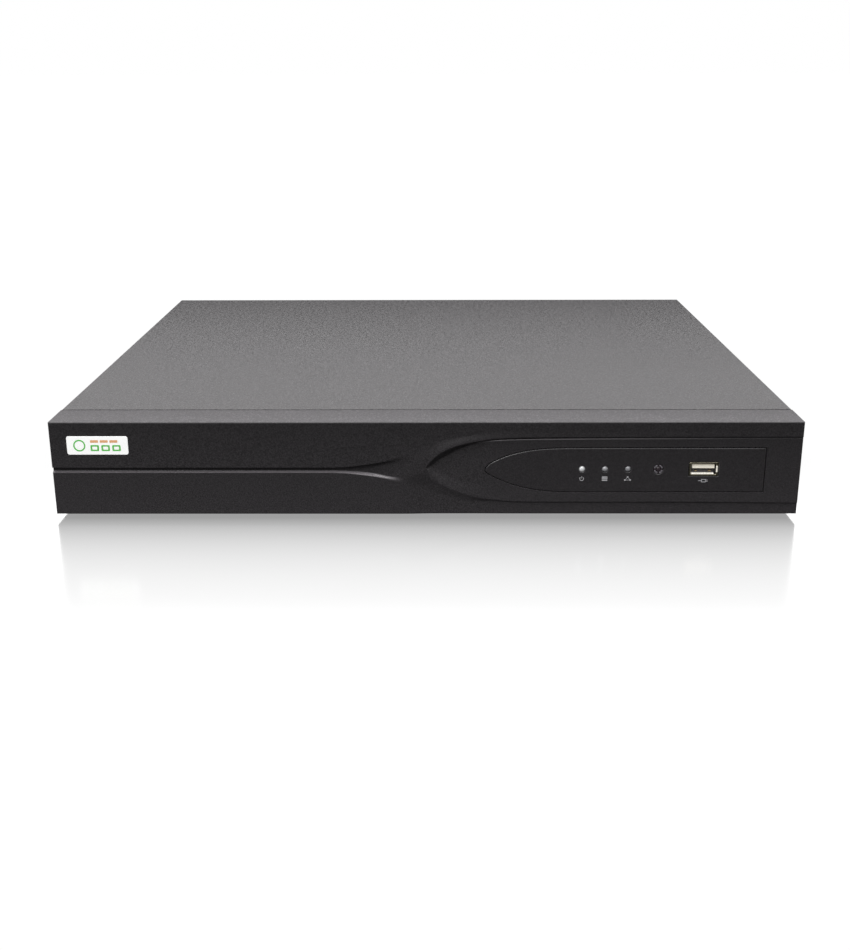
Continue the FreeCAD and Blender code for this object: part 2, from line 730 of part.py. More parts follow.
# front board with its lamps and socket
front_board = body("FrontBoardBody")
board_back = board_y + pcb_t
pad(front_board, "XZ", board_back, pcb_t, "board",
    (rect, 56, 169, case_low + 4.4, case_low + 43.6))
pocket(front_board, "XZ", board_y - 1, 4, "board_holes",
       *[(circle, x, z, 1.4) for x, z in post_spots])
chips = [face_box(x, 1.2, board_y - 0.9, board_y, lamp_z, 1.0) for x in lamps_x]
socket = cut(mid_box(ribbon_x, 10, board_back, board_back + 6, case_low + 16, case_low + 22),
             mid_box(ribbon_x, 9, board_back + 1, board_back + 7, case_low + 17, case_low + 21))
node(group([front_board] + chips + [socket], "front_board_group"), "front_board")

# ------------------------------------------------------------- rubber feet
items = []
for x, y in feet_spots:
    pad_ring = cut(cone(foot_r - 0.8, foot_r, x, y, 0, foot_h), rod(3.2, x, y, -1, 2.4))
    stem = rod(1.9, x, y, foot_h - 0.6, 2.0)
    head = cone(2.9, 2.1, x, y, floor_z, 1.2)
    items.append(fuse([pad_ring, stem, head], "foot"))
node(group(items), "rubber_feet")

# ------------------------------------------------------------------- drives
drive_floor = floor_z + seat_h
drive_back = drive_y + drive_l
disk_y = drive_y + 51
pivot_dx, pivot_dy = 20.0, 56.0  # arm pivot from the spindle
pivot_y = disk_y + pivot_dy
arm_len = 48.0
# the parked arm lies this far round from the line towards the spindle
park = Rotation(Vector(0, 0, 1), math.degrees(math.atan2(-pivot_dy, -pivot_dx)) - 53.5)
# raised dots on the lid: from the drive centre, from its front end
lid_dots = ((-45, 9), (45, 9), (-45, 95), (-45, 139), (46, 96), (46, 139))
# arm outlines before turning, from the pivot
blade_line = [(4, -5.2), (arm_len - 12, -2.0), (arm_len, -1.2),
              (arm_len, 1.2), (arm_len - 12, 2.0), (4, 5.2)]
coil_line = [(-5, -4), (-19, -8.6), (-22, -6.5), (-22.6, 0), (-22, 6.5), (-19, 8.6), (-5, 4)]


def arm_plate(points, thick, name, x, z):
    plate = extruded([Vector(along, side, 0) for along, side in points],
                     Vector(0, 0, thick), name)
    place(plate, x, pivot_y, z, park)
    return plate


def drive_case(x, x0, x1, z0):
    pivot_x = x + pivot_dx
    block = box(x0, x1, drive_y, drive_back, z0, z0 + drive_h - 1.1)
    bowl = rod(disk_r + 1.2, x, disk_y, z0 + 8, 20)
    well = box(x - 31, x + 46, disk_y + 18, drive_back - 6, z0 + 8, z0 + 30)
    under = box(x0 + 5, x1 - 5, drive_y + 45, drive_back - 0.01, z0 - 0.01, z0 + 3)
    plug = box(x - 30, x + 14, drive_back - 6, drive_back + 1, z0 + 1.0, z0 + 7.2)
    key = box(x - 30.2, x + 14.2, drive_back - 6, drive_back + 1, z0 - 1, z0 + 1.2)
    tapped = [rod(1.45, hole_x, hole_y, z0 - 1, 5.5) for hole_x, hole_y in drive_spots(x)]
    corners = [box(low, low + 5, drive_y - 1, drive_y + 5, z0 + 14, z0 + 30)
               for low in (x0 - 1, x1 - 4)]
    shaft = rod(pin_r, x, disk_y, z0 + 7, 15.5)
    pivot = rod(pin_r, pivot_x, pivot_y, z0 + 7, 15.0)
    # two magnet plates above and below the arm's coil
    magnets = []
    for z in (z0 + 10.2, z0 + 19.4):
        ring = cut(rod(30, pivot_x, pivot_y, z, 2.6), rod(13, pivot_x, pivot_y, z - 1, 5))
        sector = box(x + 22, x + 46.5, pivot_y - 7, pivot_y + 26, z - 1, z + 5)
        magnets.append(common(ring, sector))
    hollow = cut(block, [bowl, well, under, plug, key] + tapped + corners)
    return fuse([hollow, shaft, pivot] + magnets, "drive_case")


def drive_lid(x, x0, x1, z0):
    """Lid with a raised outline, lying on the case."""
    top = z0 + drive_h
    plate = box(x0 + 0.6, x1 - 0.6, drive_y + 5.2, drive_back - 2, top - 1.1, top - 0.3)
    crown = cone(disk_r - 1, disk_r - 1.8, x, disk_y, top - 0.31, 0.31)
    tail = box(x - 10, x + 42, disk_y + 26, drive_back - 10, top - 0.31, top)
    dots = [rod(2.6, x + dx, drive_y + dy, top - 0.31, 0.31) for dx, dy in lid_dots]
    return fuse([plate, crown, tail] + dots, "drive_lid")


def drive_platters(x, z0):
    """Spindle hub with two platters."""
    turns = [k * math.pi / 3 for k in range(6)]
    dimples = [rod(0.9, x + 7.6 * math.cos(turn), disk_y + 7.6 * math.sin(turn), z0 + 20.4, 5)
               for turn in turns]
    disks = [rod(disk_r, x, disk_y, z0 + rise, 1.3) for rise in (12.5, 17.3)]
    return cut(fuse([rod(hub_r, x, disk_y, z0 + 8.6, 13.6)] + disks),
               [rod(pin_r + run_gap, x, disk_y, z0, 40)] + dimples, "platters")


def drive_arm(x, z0):
    """A comb of three blades around the pivot, with the coil opposite them."""
    parts = [rod(7.0, x, pivot_y, z0 + 9.4, 11.6)]
    for rise in (10.6, 15.1, 19.7):
        parts.append(arm_plate(blade_line, 0.9, "blade", x, z0 + rise))
    parts.append(arm_plate(coil_line, 3.0, "coil", x, z0 + 14.6))
    return cut(fuse(parts), rod(pin_r + run_gap, x, pivot_y, z0, 40), "head_arm")


def drive_board(x, x0, x1, z0):
    """Controller board under the case, with its rear connector."""
    back = drive_back
    board = box(x0 + 5.6, x1 - 5.6, drive_y + 46, back - 1.5, z0 + 0.9, z0 + 2.1)
    shell = cut(box(x - 29.4, x + 13.4, back - 5.4, back - 0.2, z0 + 2.1, z0 + 6.8),
                box(x - 28.2, x + 12.2, back - 3.4, back + 1, z0 + 3.2, z0 + 5.9))
    tongues = [box(x + low, x + high, back - 3.5, back - 0.8, z0 + 3.9, z0 + 4.9)
               for low, high in ((-26.6, -7), (-2.6, 10.4))]
    return fuse([board, shell] + tongues, "drive_board")


boards = []
for side, x in (("left", left_drive_x), ("right", right_drive_x)):
    x0 = x - drive_w / 2
    x1 = x + drive_w / 2
    node(drive_case(x, x0, x1, drive_floor), side + "_drive_case")
    node(drive_lid(x, x0, x1, drive_floor), side + "_drive_lid")
    node(drive_platters(x, drive_floor), side + "_drive_platters")
    node(drive_arm(x + pivot_dx, drive_floor), side + "_drive_arm")
    boards.append(drive_board(x, x0, x1, drive_floor))
node(group(boards), "drive_boards")
node(group([fuse([rod(screw_r, x, y, foot_h - 0.2, 7.6),
                  cone(2.2, head_r, x, y, foot_h - 1.5, 0.5),
                  rod(head_r, x, y, foot_h - 1.0, 1.0)], "drive_screw")
            for x, y in drive_holes]), "drive_screws")

# --------------------------------------------------------------- main board
board_holes = [(-108, 50), (6, 50), (120, 50), (-108, 150), (6, 108), (120, 146)]
main_board = body("MainBoardBody")
pad(main_board, "XY", pcb_z, pcb_t, "board", (rect, -114.0, 126.0, 44.0, 163.5))
pocket(main_board, "XY", deck, 4, "board_holes", *[(circle, x, y, 1.7) for x, y in board_holes])
node(main_board, "main_board")
node(group([cut(rod(3, x, y, floor_z, pcb_z - floor_z),
                rod(screw_r + 0.05, x, y, floor_z + 1, 20), "standoff")
            for x, y in board_holes]), "board_standoffs")


def deck_screw(x, y):
    """Upright pan-head screw whose head sits on the main board."""
    solids = [rod(screw_r, x, y, deck - 6.5, 6.7), rod(head_r - 0.2, x, y, deck, 1.3),
              cone(head_r - 0.2, head_r - 1.0, x, y, deck + 1.3, 0.6)]
    return cut(fuse(solids), cross("z", x, y, deck + 1.0, 1.5, 1.8, 0.3), "screw")


def post_screw(x, z):
    """Screw along Y whose head sits on the back of the front board."""
    solids = [rod(1.15, x, board_back - 6.5, z, 6.7, "y"), rod(2.4, x, board_back, z, 1.2, "y")]
    return cut(fuse(solids), cross("y", x, board_back + 0.7, z, 1.3, 1.5, 0.25), "screw")


node(group([deck_screw(x, y) for x, y in board_holes]
           + [post_screw(x, z) for x, z in post_spots]), "board_screws")

# heatsink on the processor
heatsink = body("HeatsinkBody")
pad(heatsink, "XY", deck + 2.4, 2.5, "base", (rect, -10, 34, 62, 102))
fin = pad(heatsink, "XY", deck + 4.9, 15, "fin", (rect, -10, -8.8, 62, 102))
pattern(heatsink, fin, "X_Axis", 42.8, 12, "fins")
node(heatsink, "heatsink")

# block components on the deck: x0, x1, y0, y1, height
deck_blocks = [(-1, 25, 70, 94, 2.4)]  # processor
deck_blocks += [(-40, -28, y - 5, y + 5, 1.1) for y in (66, 80, 94, 108)]
deck_blocks += [
    (46, 60, 66, 86, 1.2), (46, 54, 96, 102, 1.5), (20, 34, 112, 126, 1.1),
    (18, 32, 131, 139, 5.5), (36, 50, 131, 139, 5.5),
    (84, 94, 112, 122, 4.8), (98, 108, 112, 122, 4.8), (84, 94, 96, 106, 4.8),
    (-86, -72, 118, 128, 1.6), (-62, -50, 118, 128, 1.6), (-24, -14, 122, 132, 1.4)]
items = [box(x0, x1, y0, y1, deck, deck + height) for x0, x1, y0, y1, height in deck_blocks]
items.append(cut(rod(6, 106, 62, deck, 8.5), rod(1, 106, 62, deck + 7, 3), "sounder"))
node(group(items), "board_components")

# capacitors: x, y, radius, height
capacitors = [(110, 130, 4, 11), (98, 132, 4, 11), (74, 104, 4, 11), (110, 98, 4, 11),
              (-70, 60, 3.2, 8), (-60, 60, 3.2, 8), (66, 60, 3.2, 8),
              (-96, 134, 3.2, 8), (-96, 124, 3.2, 8)]
items = []
for x, y, r, height in capacitors:
    can = rod(r, x, y, deck, height)
    groove = cut(rod(r + 1, x, y, deck + 1.6, 0.8), rod(r - 0.4, x, y, deck, 5))
    scores = cross("z", x, y, deck + height - 0.3, 1.3, r * 0.7, 0.15)
    items.append(cut(can, [groove] + scores, "capacitor"))
node(group(items), "board_capacitors")

cell_x, cell_y = -92, 84
holder = fuse([rod(11.6, cell_x, cell_y, deck, 4.4),
               mid_box(cell_x, 6, cell_y + 10, cell_y + 14, deck, deck + 4.4)])
holder_cuts = [rod(10.2, cell_x, cell_y, deck + 0.8, 9),
               mid_box(cell_x, 12, cell_y - 13.8, cell_y - 7, deck + 2.4, deck + 9)]
node(cut(holder, holder_cuts, "holder"), "coin_cell_holder")
node(fuse([rod(10, cell_x, cell_y, deck + 0.85, 2.6), rod(8.8, cell_x, cell_y, deck + 3.4, 0.5)],
          "cell"), "coin_cell")

# headers: x, half width, y0, y1, height, then the hollow's half width, y0, y1
headers = [(-74, 7, 46, 52.5, 8, 5.6, 47.4, 51.1), (-50, 7, 46, 52.5, 8, 5.6, 47.4, 51.1),
           (-26, 6, 46, 53, 7.5, 5, 47, 52), (48, 6, 46, 53, 7.5, 5, 47, 52),
           (ribbon_x, 9, 46, 54.5, 9, 7.8, 47.2, 53.3),
           (-106.5, 4.5, 104, 110, 6, 3.7, 104.8, 109.2), (118, 4, 84, 92, 7, 3, 85, 91)]
node(group([cut(mid_box(x, half, y0, y1, deck, deck + height),
                mid_box(x, inner, inner_y0, inner_y1, deck + 1.5, deck + height + 1))
            for x, half, y0, y1, height, inner, inner_y0, inner_y1 in headers]),
     "board_headers")

# ------------------------------------------------------------- rear connectors
# network ports, each with two lamps above the opening
shields, inserts = [], []
for x in lans_x:
    shields.append(cut(mid_box(x, 8, rear - 20, rear + 0.9, deck, deck + 13.5),
                       mid_box(x, 7.7, rear - 19.7, rear + 2, deck + 0.3, deck + 13.2),
                       "shield"))
    block = mid_box(x, 7.65, rear - 19.6, rear + 0.6, deck + 0.35, deck + 13.15)
    holes = [mid_box(x, 5.9, rear - 11.2, rear + 2, deck + 1.6, deck + 9.4),
             mid_box(x, 3.1, rear - 11.2, rear + 2, deck + 9.3, deck + 11.6)]
    holes += [mid_box(x + dx, 1.4, rear + 0.1, rear + 2, deck + 10.3, deck + 12.2)
              for dx in (-5.6, 5.6)]
    inserts.append(cut(block, holes, "port_insert"))
    inserts += [mid_box(x + dx, 1.3, rear + 0.1, rear + 0.7, deck + 10.4, deck + 12.1)
                for dx in (-5.6, 5.6)]
    contacts += [mid_box(x + (k - 3.5) * 1.02, 0.22, rear - 10.8, rear - 3.0,
                         deck + 1.62, deck + 1.9) for k in range(8)]
node(group(shields), "lan_port_shields")
node(group(inserts), "lan_port_inserts")

# digital video port
shell_line = [(-7.5, 2.8), (7.5, 2.8), (7.5, -0.4), (5.3, -2.8), (-5.3, -2.8), (-7.5, -0.4)]
bore_line = [(-7.15, 2.45), (7.15, 2.45), (7.15, -0.25),
             (5.15, -2.45), (-5.15, -2.45), (-7.15, -0.25)]
shell = cut(prism_y(shell_line, rear - 13, rear + 0.9, video_x, video_z),
            prism_y(bore_line, rear - 14, rear + 2, video_x, video_z))
legs = [mid_box(video_x + dx, 0.2, rear - 6, rear - 3.5, deck, 12.8) for dx in (-4.6, 4.6)]
node(fuse([shell] + legs, "video_shell"), "digital_video_port_shell")
tongues = [fuse([mid_box(video_x, 7.2, rear - 16, rear - 13, deck, 17.6),
                 mid_box(video_x, 5.6, rear - 13.2, rear - 0.6, 14.2, 15.5)], "tongue")]

# stacked pair of serial bus ports
stack_z = (15.4, 23.6)
node(cut(mid_box(0, 6.9, rear - 17, rear + 0.9, deck, deck + 15.8),
         [face_box(0, 6.5, rear - 15, rear + 2, z, 2.65) for z in stack_z], "stack"),
     "rear_usb_shell")
for z in stack_z:
    tongues.append(mid_box(0, 5.6, rear - 15, rear - 0.8, z + 0.3, z + 2.1))
    contacts += [mid_box(x, 0.5, rear - 14.5, rear - 1.4, z + 0.1, z + 0.3) for x in usb_pins]
node(group(tongues), "rear_port_tongues")


# analogue video port
def d_shape(width, height):
    """Outline narrower at the foot, with cut corners, centred on 0, 0."""
    corner = 1.6
    top, side = height / 2, width / 2
    foot = side - 1.3
    right = [(side - corner, top), (side - 0.3, top - 0.5), (side, top - corner),
             (foot, -top + corner), (foot - 0.5, -top + 0.5), (foot - corner, -top)]
    return right + [(-x, z) for x, z in right[::-1]]


flange = face_box(vga_x, 15.4, rear - 1.8, rear - 1.0, vga_z, 6.2)
tube = prism_y(d_shape(16.9, 8.3), rear - 1.2, rear + 4.9, vga_x, vga_z)
bore = prism_y(d_shape(16.1, 7.5), rear - 3, rear + 6, vga_x, vga_z)
node(cut(fuse([flange, tube]),
         [bore] + [rod(1.65, x, rear - 3, vga_z, 4, "y") for x in vga_screws_x],
         "analogue_shell"), "analogue_video_port_shell")
face = prism_y(d_shape(16.0, 7.4), rear - 1.9, rear + 4.0, vga_x, vga_z)
block = mid_box(vga_x, 15.4, rear - 14, rear - 1.8, deck, 24.4)
holes = [rod(0.5, vga_x + (k - 2) * 2.29 + shift, rear - 0.5, vga_z + row * 1.98, 6, "y")
         for row, shift in ((1, -0.57), (0, 0.57), (-1, -0.57)) for k in range(5)]
holes += [rod(1.65, x, rear - 7, vga_z, 8, "y") for x in vga_screws_x]
node(cut(fuse([face, block]), holes, "analogue_insert"), "analogue_video_port_insert")
nut_line = [(2.75 * math.cos(math.radians(60 * k)), 2.75 * math.sin(math.radians(60 * k)))
            for k in range(6)]
node(group([cut(fuse([prism_y(nut_line, rear, rear + 5, x, vga_z),
                      rod(1.5, x, rear - 5, vga_z, 5.2, "y")]),
                rod(1.25, x, rear, vga_z, 6, "y"), "standoff_nut")
            for x in vga_screws_x]), "video_port_jackscrews")

# audio jacks
node(group([cut(fuse([rod(jack_r, x, rear - 1.2, jack_z, 11.5, "y"),
                      rod(5.4, x, rear - 2.2, jack_z, 1.1, "y")]),
                rod(3.5, x, rear - 3, jack_z, 20, "y"), "barrel")
            for x in jacks_x]), "audio_jack_barrels")
node(group([cut(fuse([mid_box(x, 5.5, rear - 13, rear - 2.2, deck, 24.2),
                      rod(3.45, x, rear - 2.4, jack_z, 12.3, "y")]),
                rod(1.65, x, rear - 6, jack_z, 20, "y"), "jack_body")
            for x in jacks_x]), "audio_jack_bodies")

# alarm and bus terminals: fixed header and pull-off plug
ways_x = [terminal_x + (k - 3.5) * 3.81 for k in range(8)]
clamp_y = rear + 5.6
node(cut(mid_box(terminal_x, 17.2, rear - 13, rear + 0.4, deck, deck + 8.0),
         mid_box(terminal_x, 16.2, rear - 7.6, rear + 2, deck + 0.9, deck + 7.1), "header"),
     "terminal_header")
plug = fuse([mid_box(terminal_x, 16.0, rear - 7.0, rear + 0.8, deck + 1.1, deck + 6.9),
             mid_box(terminal_x, 17, rear + 0.6, rear + 10.3, deck, deck + 10.4)])
holes = [mid_box(x, 0.7, rear - 8, rear - 2.0, deck + 3.3, deck + 4.7) for x in ways_x]
holes += [mid_box(x, 1.4, rear + 3.6, rear + 12, deck + 1.6, deck + 4.6) for x in ways_x]
holes += [rod(1.6, x, clamp_y, deck + 5.6, 8) for x in ways_x]
node(cut(plug, holes, "plug"), "terminal_plug")
node(group([cut(rod(1.5, x, clamp_y, deck + 5.6, 3.2),
                mid_box(x, 2, clamp_y - 0.25, clamp_y + 0.25, deck + 8.0, deck + 9),
                "clamp_screw") for x in ways_x]), "terminal_plug_screws")
contacts += [mid_box(x, 0.4, rear - 7.6, rear - 2.6, deck + 3.6, deck + 4.4) for x in ways_x]

# power inlet jack
node(cut(mid_box(inlet_x, 4.5, rear - 14, rear + 1.3, deck, deck + 11),
         rod(3.2, inlet_x, rear - 8.5, 17.6, 20, "y"), "inlet"), "dc_jack_body")
contacts.append(rod(1.0, inlet_x, rear - 8.5, 17.6, 9.0, "y"))
node(group(contacts), "connector_contacts")

# earth screw with its washer
earth = fuse([rod(1.95, earth_x, rear - 6, earth_z, 8, "y"),
              rod(4.4, earth_x, rear, earth_z, 0.6, "y"),
              rod(3.7, earth_x, rear + 0.6, earth_z, 2.2, "y")])
node(cut(earth, cross("y", earth_x, rear + 2.0, earth_z, 2, 3, 0.45), "earth_screw"),
     "ground_screw")

# ---------------------------------------------------------------- mains switch
rocker_y = rear - 1.2  # rocker axis
housing = cut(fuse([face_box(switch_x, 7.5, rear, rear + 1.8, switch_z, 10.6),
                    face_box(switch_x, 6.3, rear - 15, rear + 0.2, switch_z, 9.3)]),
              [face_box(switch_x, 5.4, rear - 7.4, rear + 3, switch_z, 8.9),
               rod(1.25, switch_x - 6.4, rocker_y, switch_z, 12.8, "x")], "housing")
lugs = [face_box(switch_x, 2.4, rear - 23, rear - 14.9, switch_z + dz, 0.4) for dz in (-5, 5)]
node(fuse([housing] + lugs, "switch_housing"), "switch_housing")
# rocker section before tilting: Y and Z from its axis
rocker_line = [(2.2, 8.2), (1.0, 0.3), (1.0, -0.3), (2.2, -8.2), (0.2, -8.4),
               (-2.8, -5.0), (-3.4, 0.0), (-2.8, 5.0), (0.2, 8.4)]
tilt = math.radians(13)
tilted = [Vector(switch_x.value - 5.2,
                 rocker_y.value + y * math.cos(tilt) + z * math.sin(tilt),
                 switch_z.value - y * math.sin(tilt) + z * math.cos(tilt))
          for y, z in rocker_line]
node(fuse([extruded(tilted, Vector(10.4, 0, 0), "rocker"),
           rod(1.2, switch_x - 6.1, rocker_y, switch_z, 12.2, "x")], "switch_rocker"),
     "switch_rocker")

# ------------------------------------------------------------------------ fan
fan_front = wall_y - fan_depth


def fan_rod(r, y, length):
    """A rod on the fan axis."""
    return rod(r, fan_x, y, fan_z, length, "y")


def fan_bar(name, rotation, corner, y, length, width, height):
    """A box turned with its corner point about the fan axis at y."""
    offset = rotation.multVec(Vector(*corner))
    return solid("Box", name, fan_x + offset.x, y + offset.y, fan_z + offset.z, rotation,
                 Length=length, Width=width, Height=height)


frame = cut(face_box(fan_x, fan_size / 2, fan_front, wall_y, fan_z, fan_size / 2),
            [fan_rod(19, fan_front - 1, 12)]
            + [rod(1.65, x, fan_front - 1, z, 12, "y") for x, z in fan_spots], "frame")
spokes = [fan_bar("spoke", Rotation(Vector(0, 1, 0), -turn), (9.5, 0, -1.0), rear - 2.4,
                  10.5, 1.4, 2.0) for turn in (30, 150, 270)]
tube = cut(fan_rod(3.2, rear - 8.2, 6.0), fan_rod(2.5, rear - 9, 6.4))
node(fuse([frame, fan_rod(10.8, rear - 2.4, 1.4), tube] + spokes, "fan_frame"), "fan_frame")
gaps = [face_box(fan_x + 8.0 * math.cos(turn), 1.2, rear - 9, rear,
                 fan_z + 8.0 * math.sin(turn), 1.2)
        for turn in map(math.radians, (45, 135, 225, 315))]
stator = cut(fan_rod(8.3, rear - 7.6, 5.0), [fan_rod(3.2, rear - 9, 8)] + gaps, "stator")
bearing = cut(fan_rod(2.5, rear - 8.2, 5.6), fan_rod(1.04, rear - 9, 9), "bearing")
node(group([stator, bearing]), "fan_motor")
parts = [cut(fan_rod(10.5, rear - 10, 6.8), fan_rod(9.0, rear - 8.8, 8)),
         fan_rod(1.0, rear - 9, 6.2)]
for k in range(7):
    pitched = Rotation(Vector(0, 1, 0), -360.0 / 7 * k).multiply(Rotation(Vector(1, 0, 0), 55))
    parts.append(fan_bar("blade", pitched, (9.9, -0.5, -4.3), rear - 6.6, 8.2, 1.0, 8.6))
node(fuse(parts, "fan_rotor"), "fan_rotor")
node(group([cut(fuse([rod(1.6, x, rear - 9.5, z, 9.7, "y"), rod(2.7, x, rear, z, 1.3, "y")]),
                cross("y", x, rear + 0.8, z, 1.2, 1.7, 0.25), "fan_screw")
            for x, z in fan_spots]), "fan_screws")

# ---------------------------------------------------------------------- cables
# drive leads. tongue, hollow and grip: left and right sides from the drive centre;
# plug, on the main board: half width, y0, y1, top
data_lead = dict(name="data", tongue=(-3.6, 11.4), hollow=(-2.9, 10.7), grip=(-3.8, 11.8),
                 grip_end=10.7, wire_r=1.9, plug=(5.3, 47.6, 50.9, 21.2))
power_lead = dict(name="power", tongue=(-28.0, -5.2), hollow=(-26.9, -6.7), grip=(-28.6, -4.6),
                  grip_end=9.8, wire_r=1.7, plug=(4.8, 47.2, 51.8, 20.8))
# wire centre lines: x, y, z
left_data = [(-121, 19.5, 11.5), (-121, 24, 12), (-110, 36, 20), (-88, 42, 26),
             (-76, 46.5, 27), (-74, 49.2, 24.5), (-74, 49.2, 20.9)]
right_data = [(-6, 19.5, 11.5), (-6, 24, 13), (-12, 31, 22), (-35, 39, 28),
              (-48, 45.5, 28), (-50, 49.2, 24.5), (-50, 49.2, 20.9)]
left_power = [(-141.5, 18.5, 11.5), (-141.2, 22, 11.4), (-138, 27, 10.4), (-128, 31, 8.8),
              (-112, 33.5, 8.2), (-90, 34.5, 8.2), (-66, 35, 8.6), (-46, 36.4, 11),
              (-35, 39, 16), (-29.5, 42.5, 22), (-26.6, 47, 25.6), (-26, 49.5, 24),
              (-26, 49.5, 20.4)]
right_power = [(-26.5, 18.5, 11.5), (-26.2, 21.5, 11.2), (-22, 25.5, 9.6), (-12, 29, 8.2),
               (4, 31.5, 8.0), (20, 33.5, 8.8), (33, 36, 11.5), (41.5, 39.5, 17),
               (46, 43.5, 23), (48, 47.8, 25.4), (48.1, 49.5, 23.6), (48, 49.5, 20.4)]


def drive_lead(x, path, name, tongue, hollow, grip, grip_end, wire_r, plug):
    def span(sides, y0, y1, z0, z1):
        return box(x + sides[0], x + sides[1], drive_back + y0, drive_back + y1, z0, z1)

    half, plug_y0, plug_y1, plug_top = plug
    inner = cut(span(tongue, -3.2, 0.4, 10.3, 12.8), span(hollow, -4, -0.6, 10.7, 12.1))
    return fuse([inner, span(grip, 0.3, grip_end, 8.4, 14.6), pipe(path, wire_r, name + "_cable"),
                 mid_box(path[-1][0], half, plug_y0, plug_y1, 13.3, plug_top)], name + "_lead")


for kind, left_path, right_path in ((data_lead, left_data, right_data),
                                    (power_lead, left_power, right_power)):
    leads = [drive_lead(left_drive_x, left_path, **kind),
             drive_lead(right_drive_x, right_path, **kind)]
    node(group(leads), "drive_%s_cables" % kind["name"])

# flat cable from the front board to the main board: y, z
ribbon_path = [(-151.5, 22), (-148, 22), (-145, 20.8), (-143.4, 18), (-142.6, 14),
               (-141.6, 10.4), (-139.4, 7.4), (-136, 5.9), (-131, 5.4), (-124, 5.3),
               (-112, 5.3), (-90, 5.3), (-60, 5.3), (-30, 5.3), (0, 5.3), (16, 5.3),
               (26, 5.4), (32, 6.0), (36.4, 7.8), (39.2, 11), (40.9, 15.5), (41.9, 20.5),
               (43.2, 25), (45.6, 27.4), (48.4, 26.8), (49.9, 24.2), (50.25, 21.4)]
node(fuse([mid_box(ribbon_x, 8.7, -157.8, -151.2, 20.2, 23.8),
           ribbon(ribbon_path, width=12.7, thick=0.9, x=ribbon_x),
           mid_box(ribbon_x, 7.5, 47.6, 52.9, 13.3, 21.6)], "ribbon_lead"),
     "front_ribbon_cable")

# fan and switch wires: x, y, z
fan_path = [(-138.7, 158, 12), (-132, 152, 11.5), (-121, 134, 14), (-111, 114, 21),
            (-107, 107.6, 22.5), (-106.5, 107, 19.6)]
upper_path = [(switch_x, rear - 32, switch_z + 5), (149, 118, 30), (136, 100, 28),
              (123, 90.5, 26.5), (117, 88, 24), (116.6, 88, 20.2)]
lower_path = [(switch_x, rear - 32, switch_z - 5), (151, 118, 20.5), (142, 102, 18.5),
              (130, 92, 21), (121.5, 88.4, 24), (119.4, 88, 20.2)]
fan_lead = fuse([pipe(fan_path, 1.2, "lead"),
                 mid_box(-106.5, 3.4, 105.1, 108.9, 13.3, 19.8)], "fan_lead")
sleeves = [rod(2.9, switch_x, rear - 32.2, switch_z + dz, 9.1, "y") for dz in (-5, 5)]
switch_lead = fuse([pipe(upper_path, 0.9, "lead"), pipe(lower_path, 0.9, "lead"),
                    mid_box(118, 2.8, 85.2, 90.8, 13.3, 20.4)] + sleeves, "switch_lead")
node(group([fan_lead, switch_lead]), "power_wires")

# ------------------------------------------------------------ check and export
doc.recompute()
for obj in doc.Objects:
    if "Invalid" in obj.State or "Error" in obj.State:
        raise RuntimeError("%s (%s) is %s" % (obj.Name, obj.Label, obj.State))
for label, obj in nodes:
    if obj.Shape.isNull() or not obj.Shape.isValid() or not obj.Shape.Solids:
        raise RuntimeError("bad shape: " + label)
os.makedirs("parts", exist_ok=True)
for label, obj in nodes:
    obj.Shape.exportStep(os.path.join("parts", label + ".step"))
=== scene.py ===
# A flat desktop computer with two drives behind a moulded front.
# It stands over z = 0, centred on x = 0: width along X, front face towards -Y.
# Pieces are drawn in millimetres; materials, lights and the stage are in metres.
import json
import math

import bmesh
import bpy
import numpy as np
from mathutils import Matrix, Vector


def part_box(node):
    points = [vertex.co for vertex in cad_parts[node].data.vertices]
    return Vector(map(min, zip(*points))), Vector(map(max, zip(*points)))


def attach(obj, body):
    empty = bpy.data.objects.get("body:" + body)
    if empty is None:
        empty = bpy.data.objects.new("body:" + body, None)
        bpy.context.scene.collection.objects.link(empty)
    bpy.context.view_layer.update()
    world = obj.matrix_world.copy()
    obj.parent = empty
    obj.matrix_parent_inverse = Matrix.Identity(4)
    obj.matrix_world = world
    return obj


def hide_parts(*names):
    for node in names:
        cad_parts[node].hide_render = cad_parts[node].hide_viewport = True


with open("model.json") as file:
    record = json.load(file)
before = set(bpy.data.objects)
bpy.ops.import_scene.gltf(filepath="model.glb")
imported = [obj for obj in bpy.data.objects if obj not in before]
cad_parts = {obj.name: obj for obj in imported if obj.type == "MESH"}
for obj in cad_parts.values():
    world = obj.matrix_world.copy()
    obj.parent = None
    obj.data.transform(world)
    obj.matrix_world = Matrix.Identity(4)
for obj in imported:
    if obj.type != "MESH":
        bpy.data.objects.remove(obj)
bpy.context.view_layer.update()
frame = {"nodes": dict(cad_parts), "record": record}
scene = bpy.context.scene

MM = 0.001
FRONT = -175.0          # y of the moulding's main plane
UNDER = 3.0             # z of its underside
TALL = 49.0
HALF = 190.0            # half its width
MID_Z = UNDER + TALL / 2
LEAF = -0.3             # the leaf-shaped field, forward of the main plane
FACE = FRONT - LEAF     # y of the insert's face
PART_Y = -175.1         # y where the turned lamp and window parts start
LAMP_PITCH = 11.65
LAMPS = [79.4 + LAMP_PITCH * k for k in range(3)]
LAMP_Z = 27.2           # shared by lamps, window and port
LAMP_HOLE = 1.62        # radius
WINDOW_X = 118.1
WINDOW_HOLE = 2.62      # radius
PORT_X = 141.0
CREASE_ANGLE = 38       # degrees; sharper edges than this are rounded


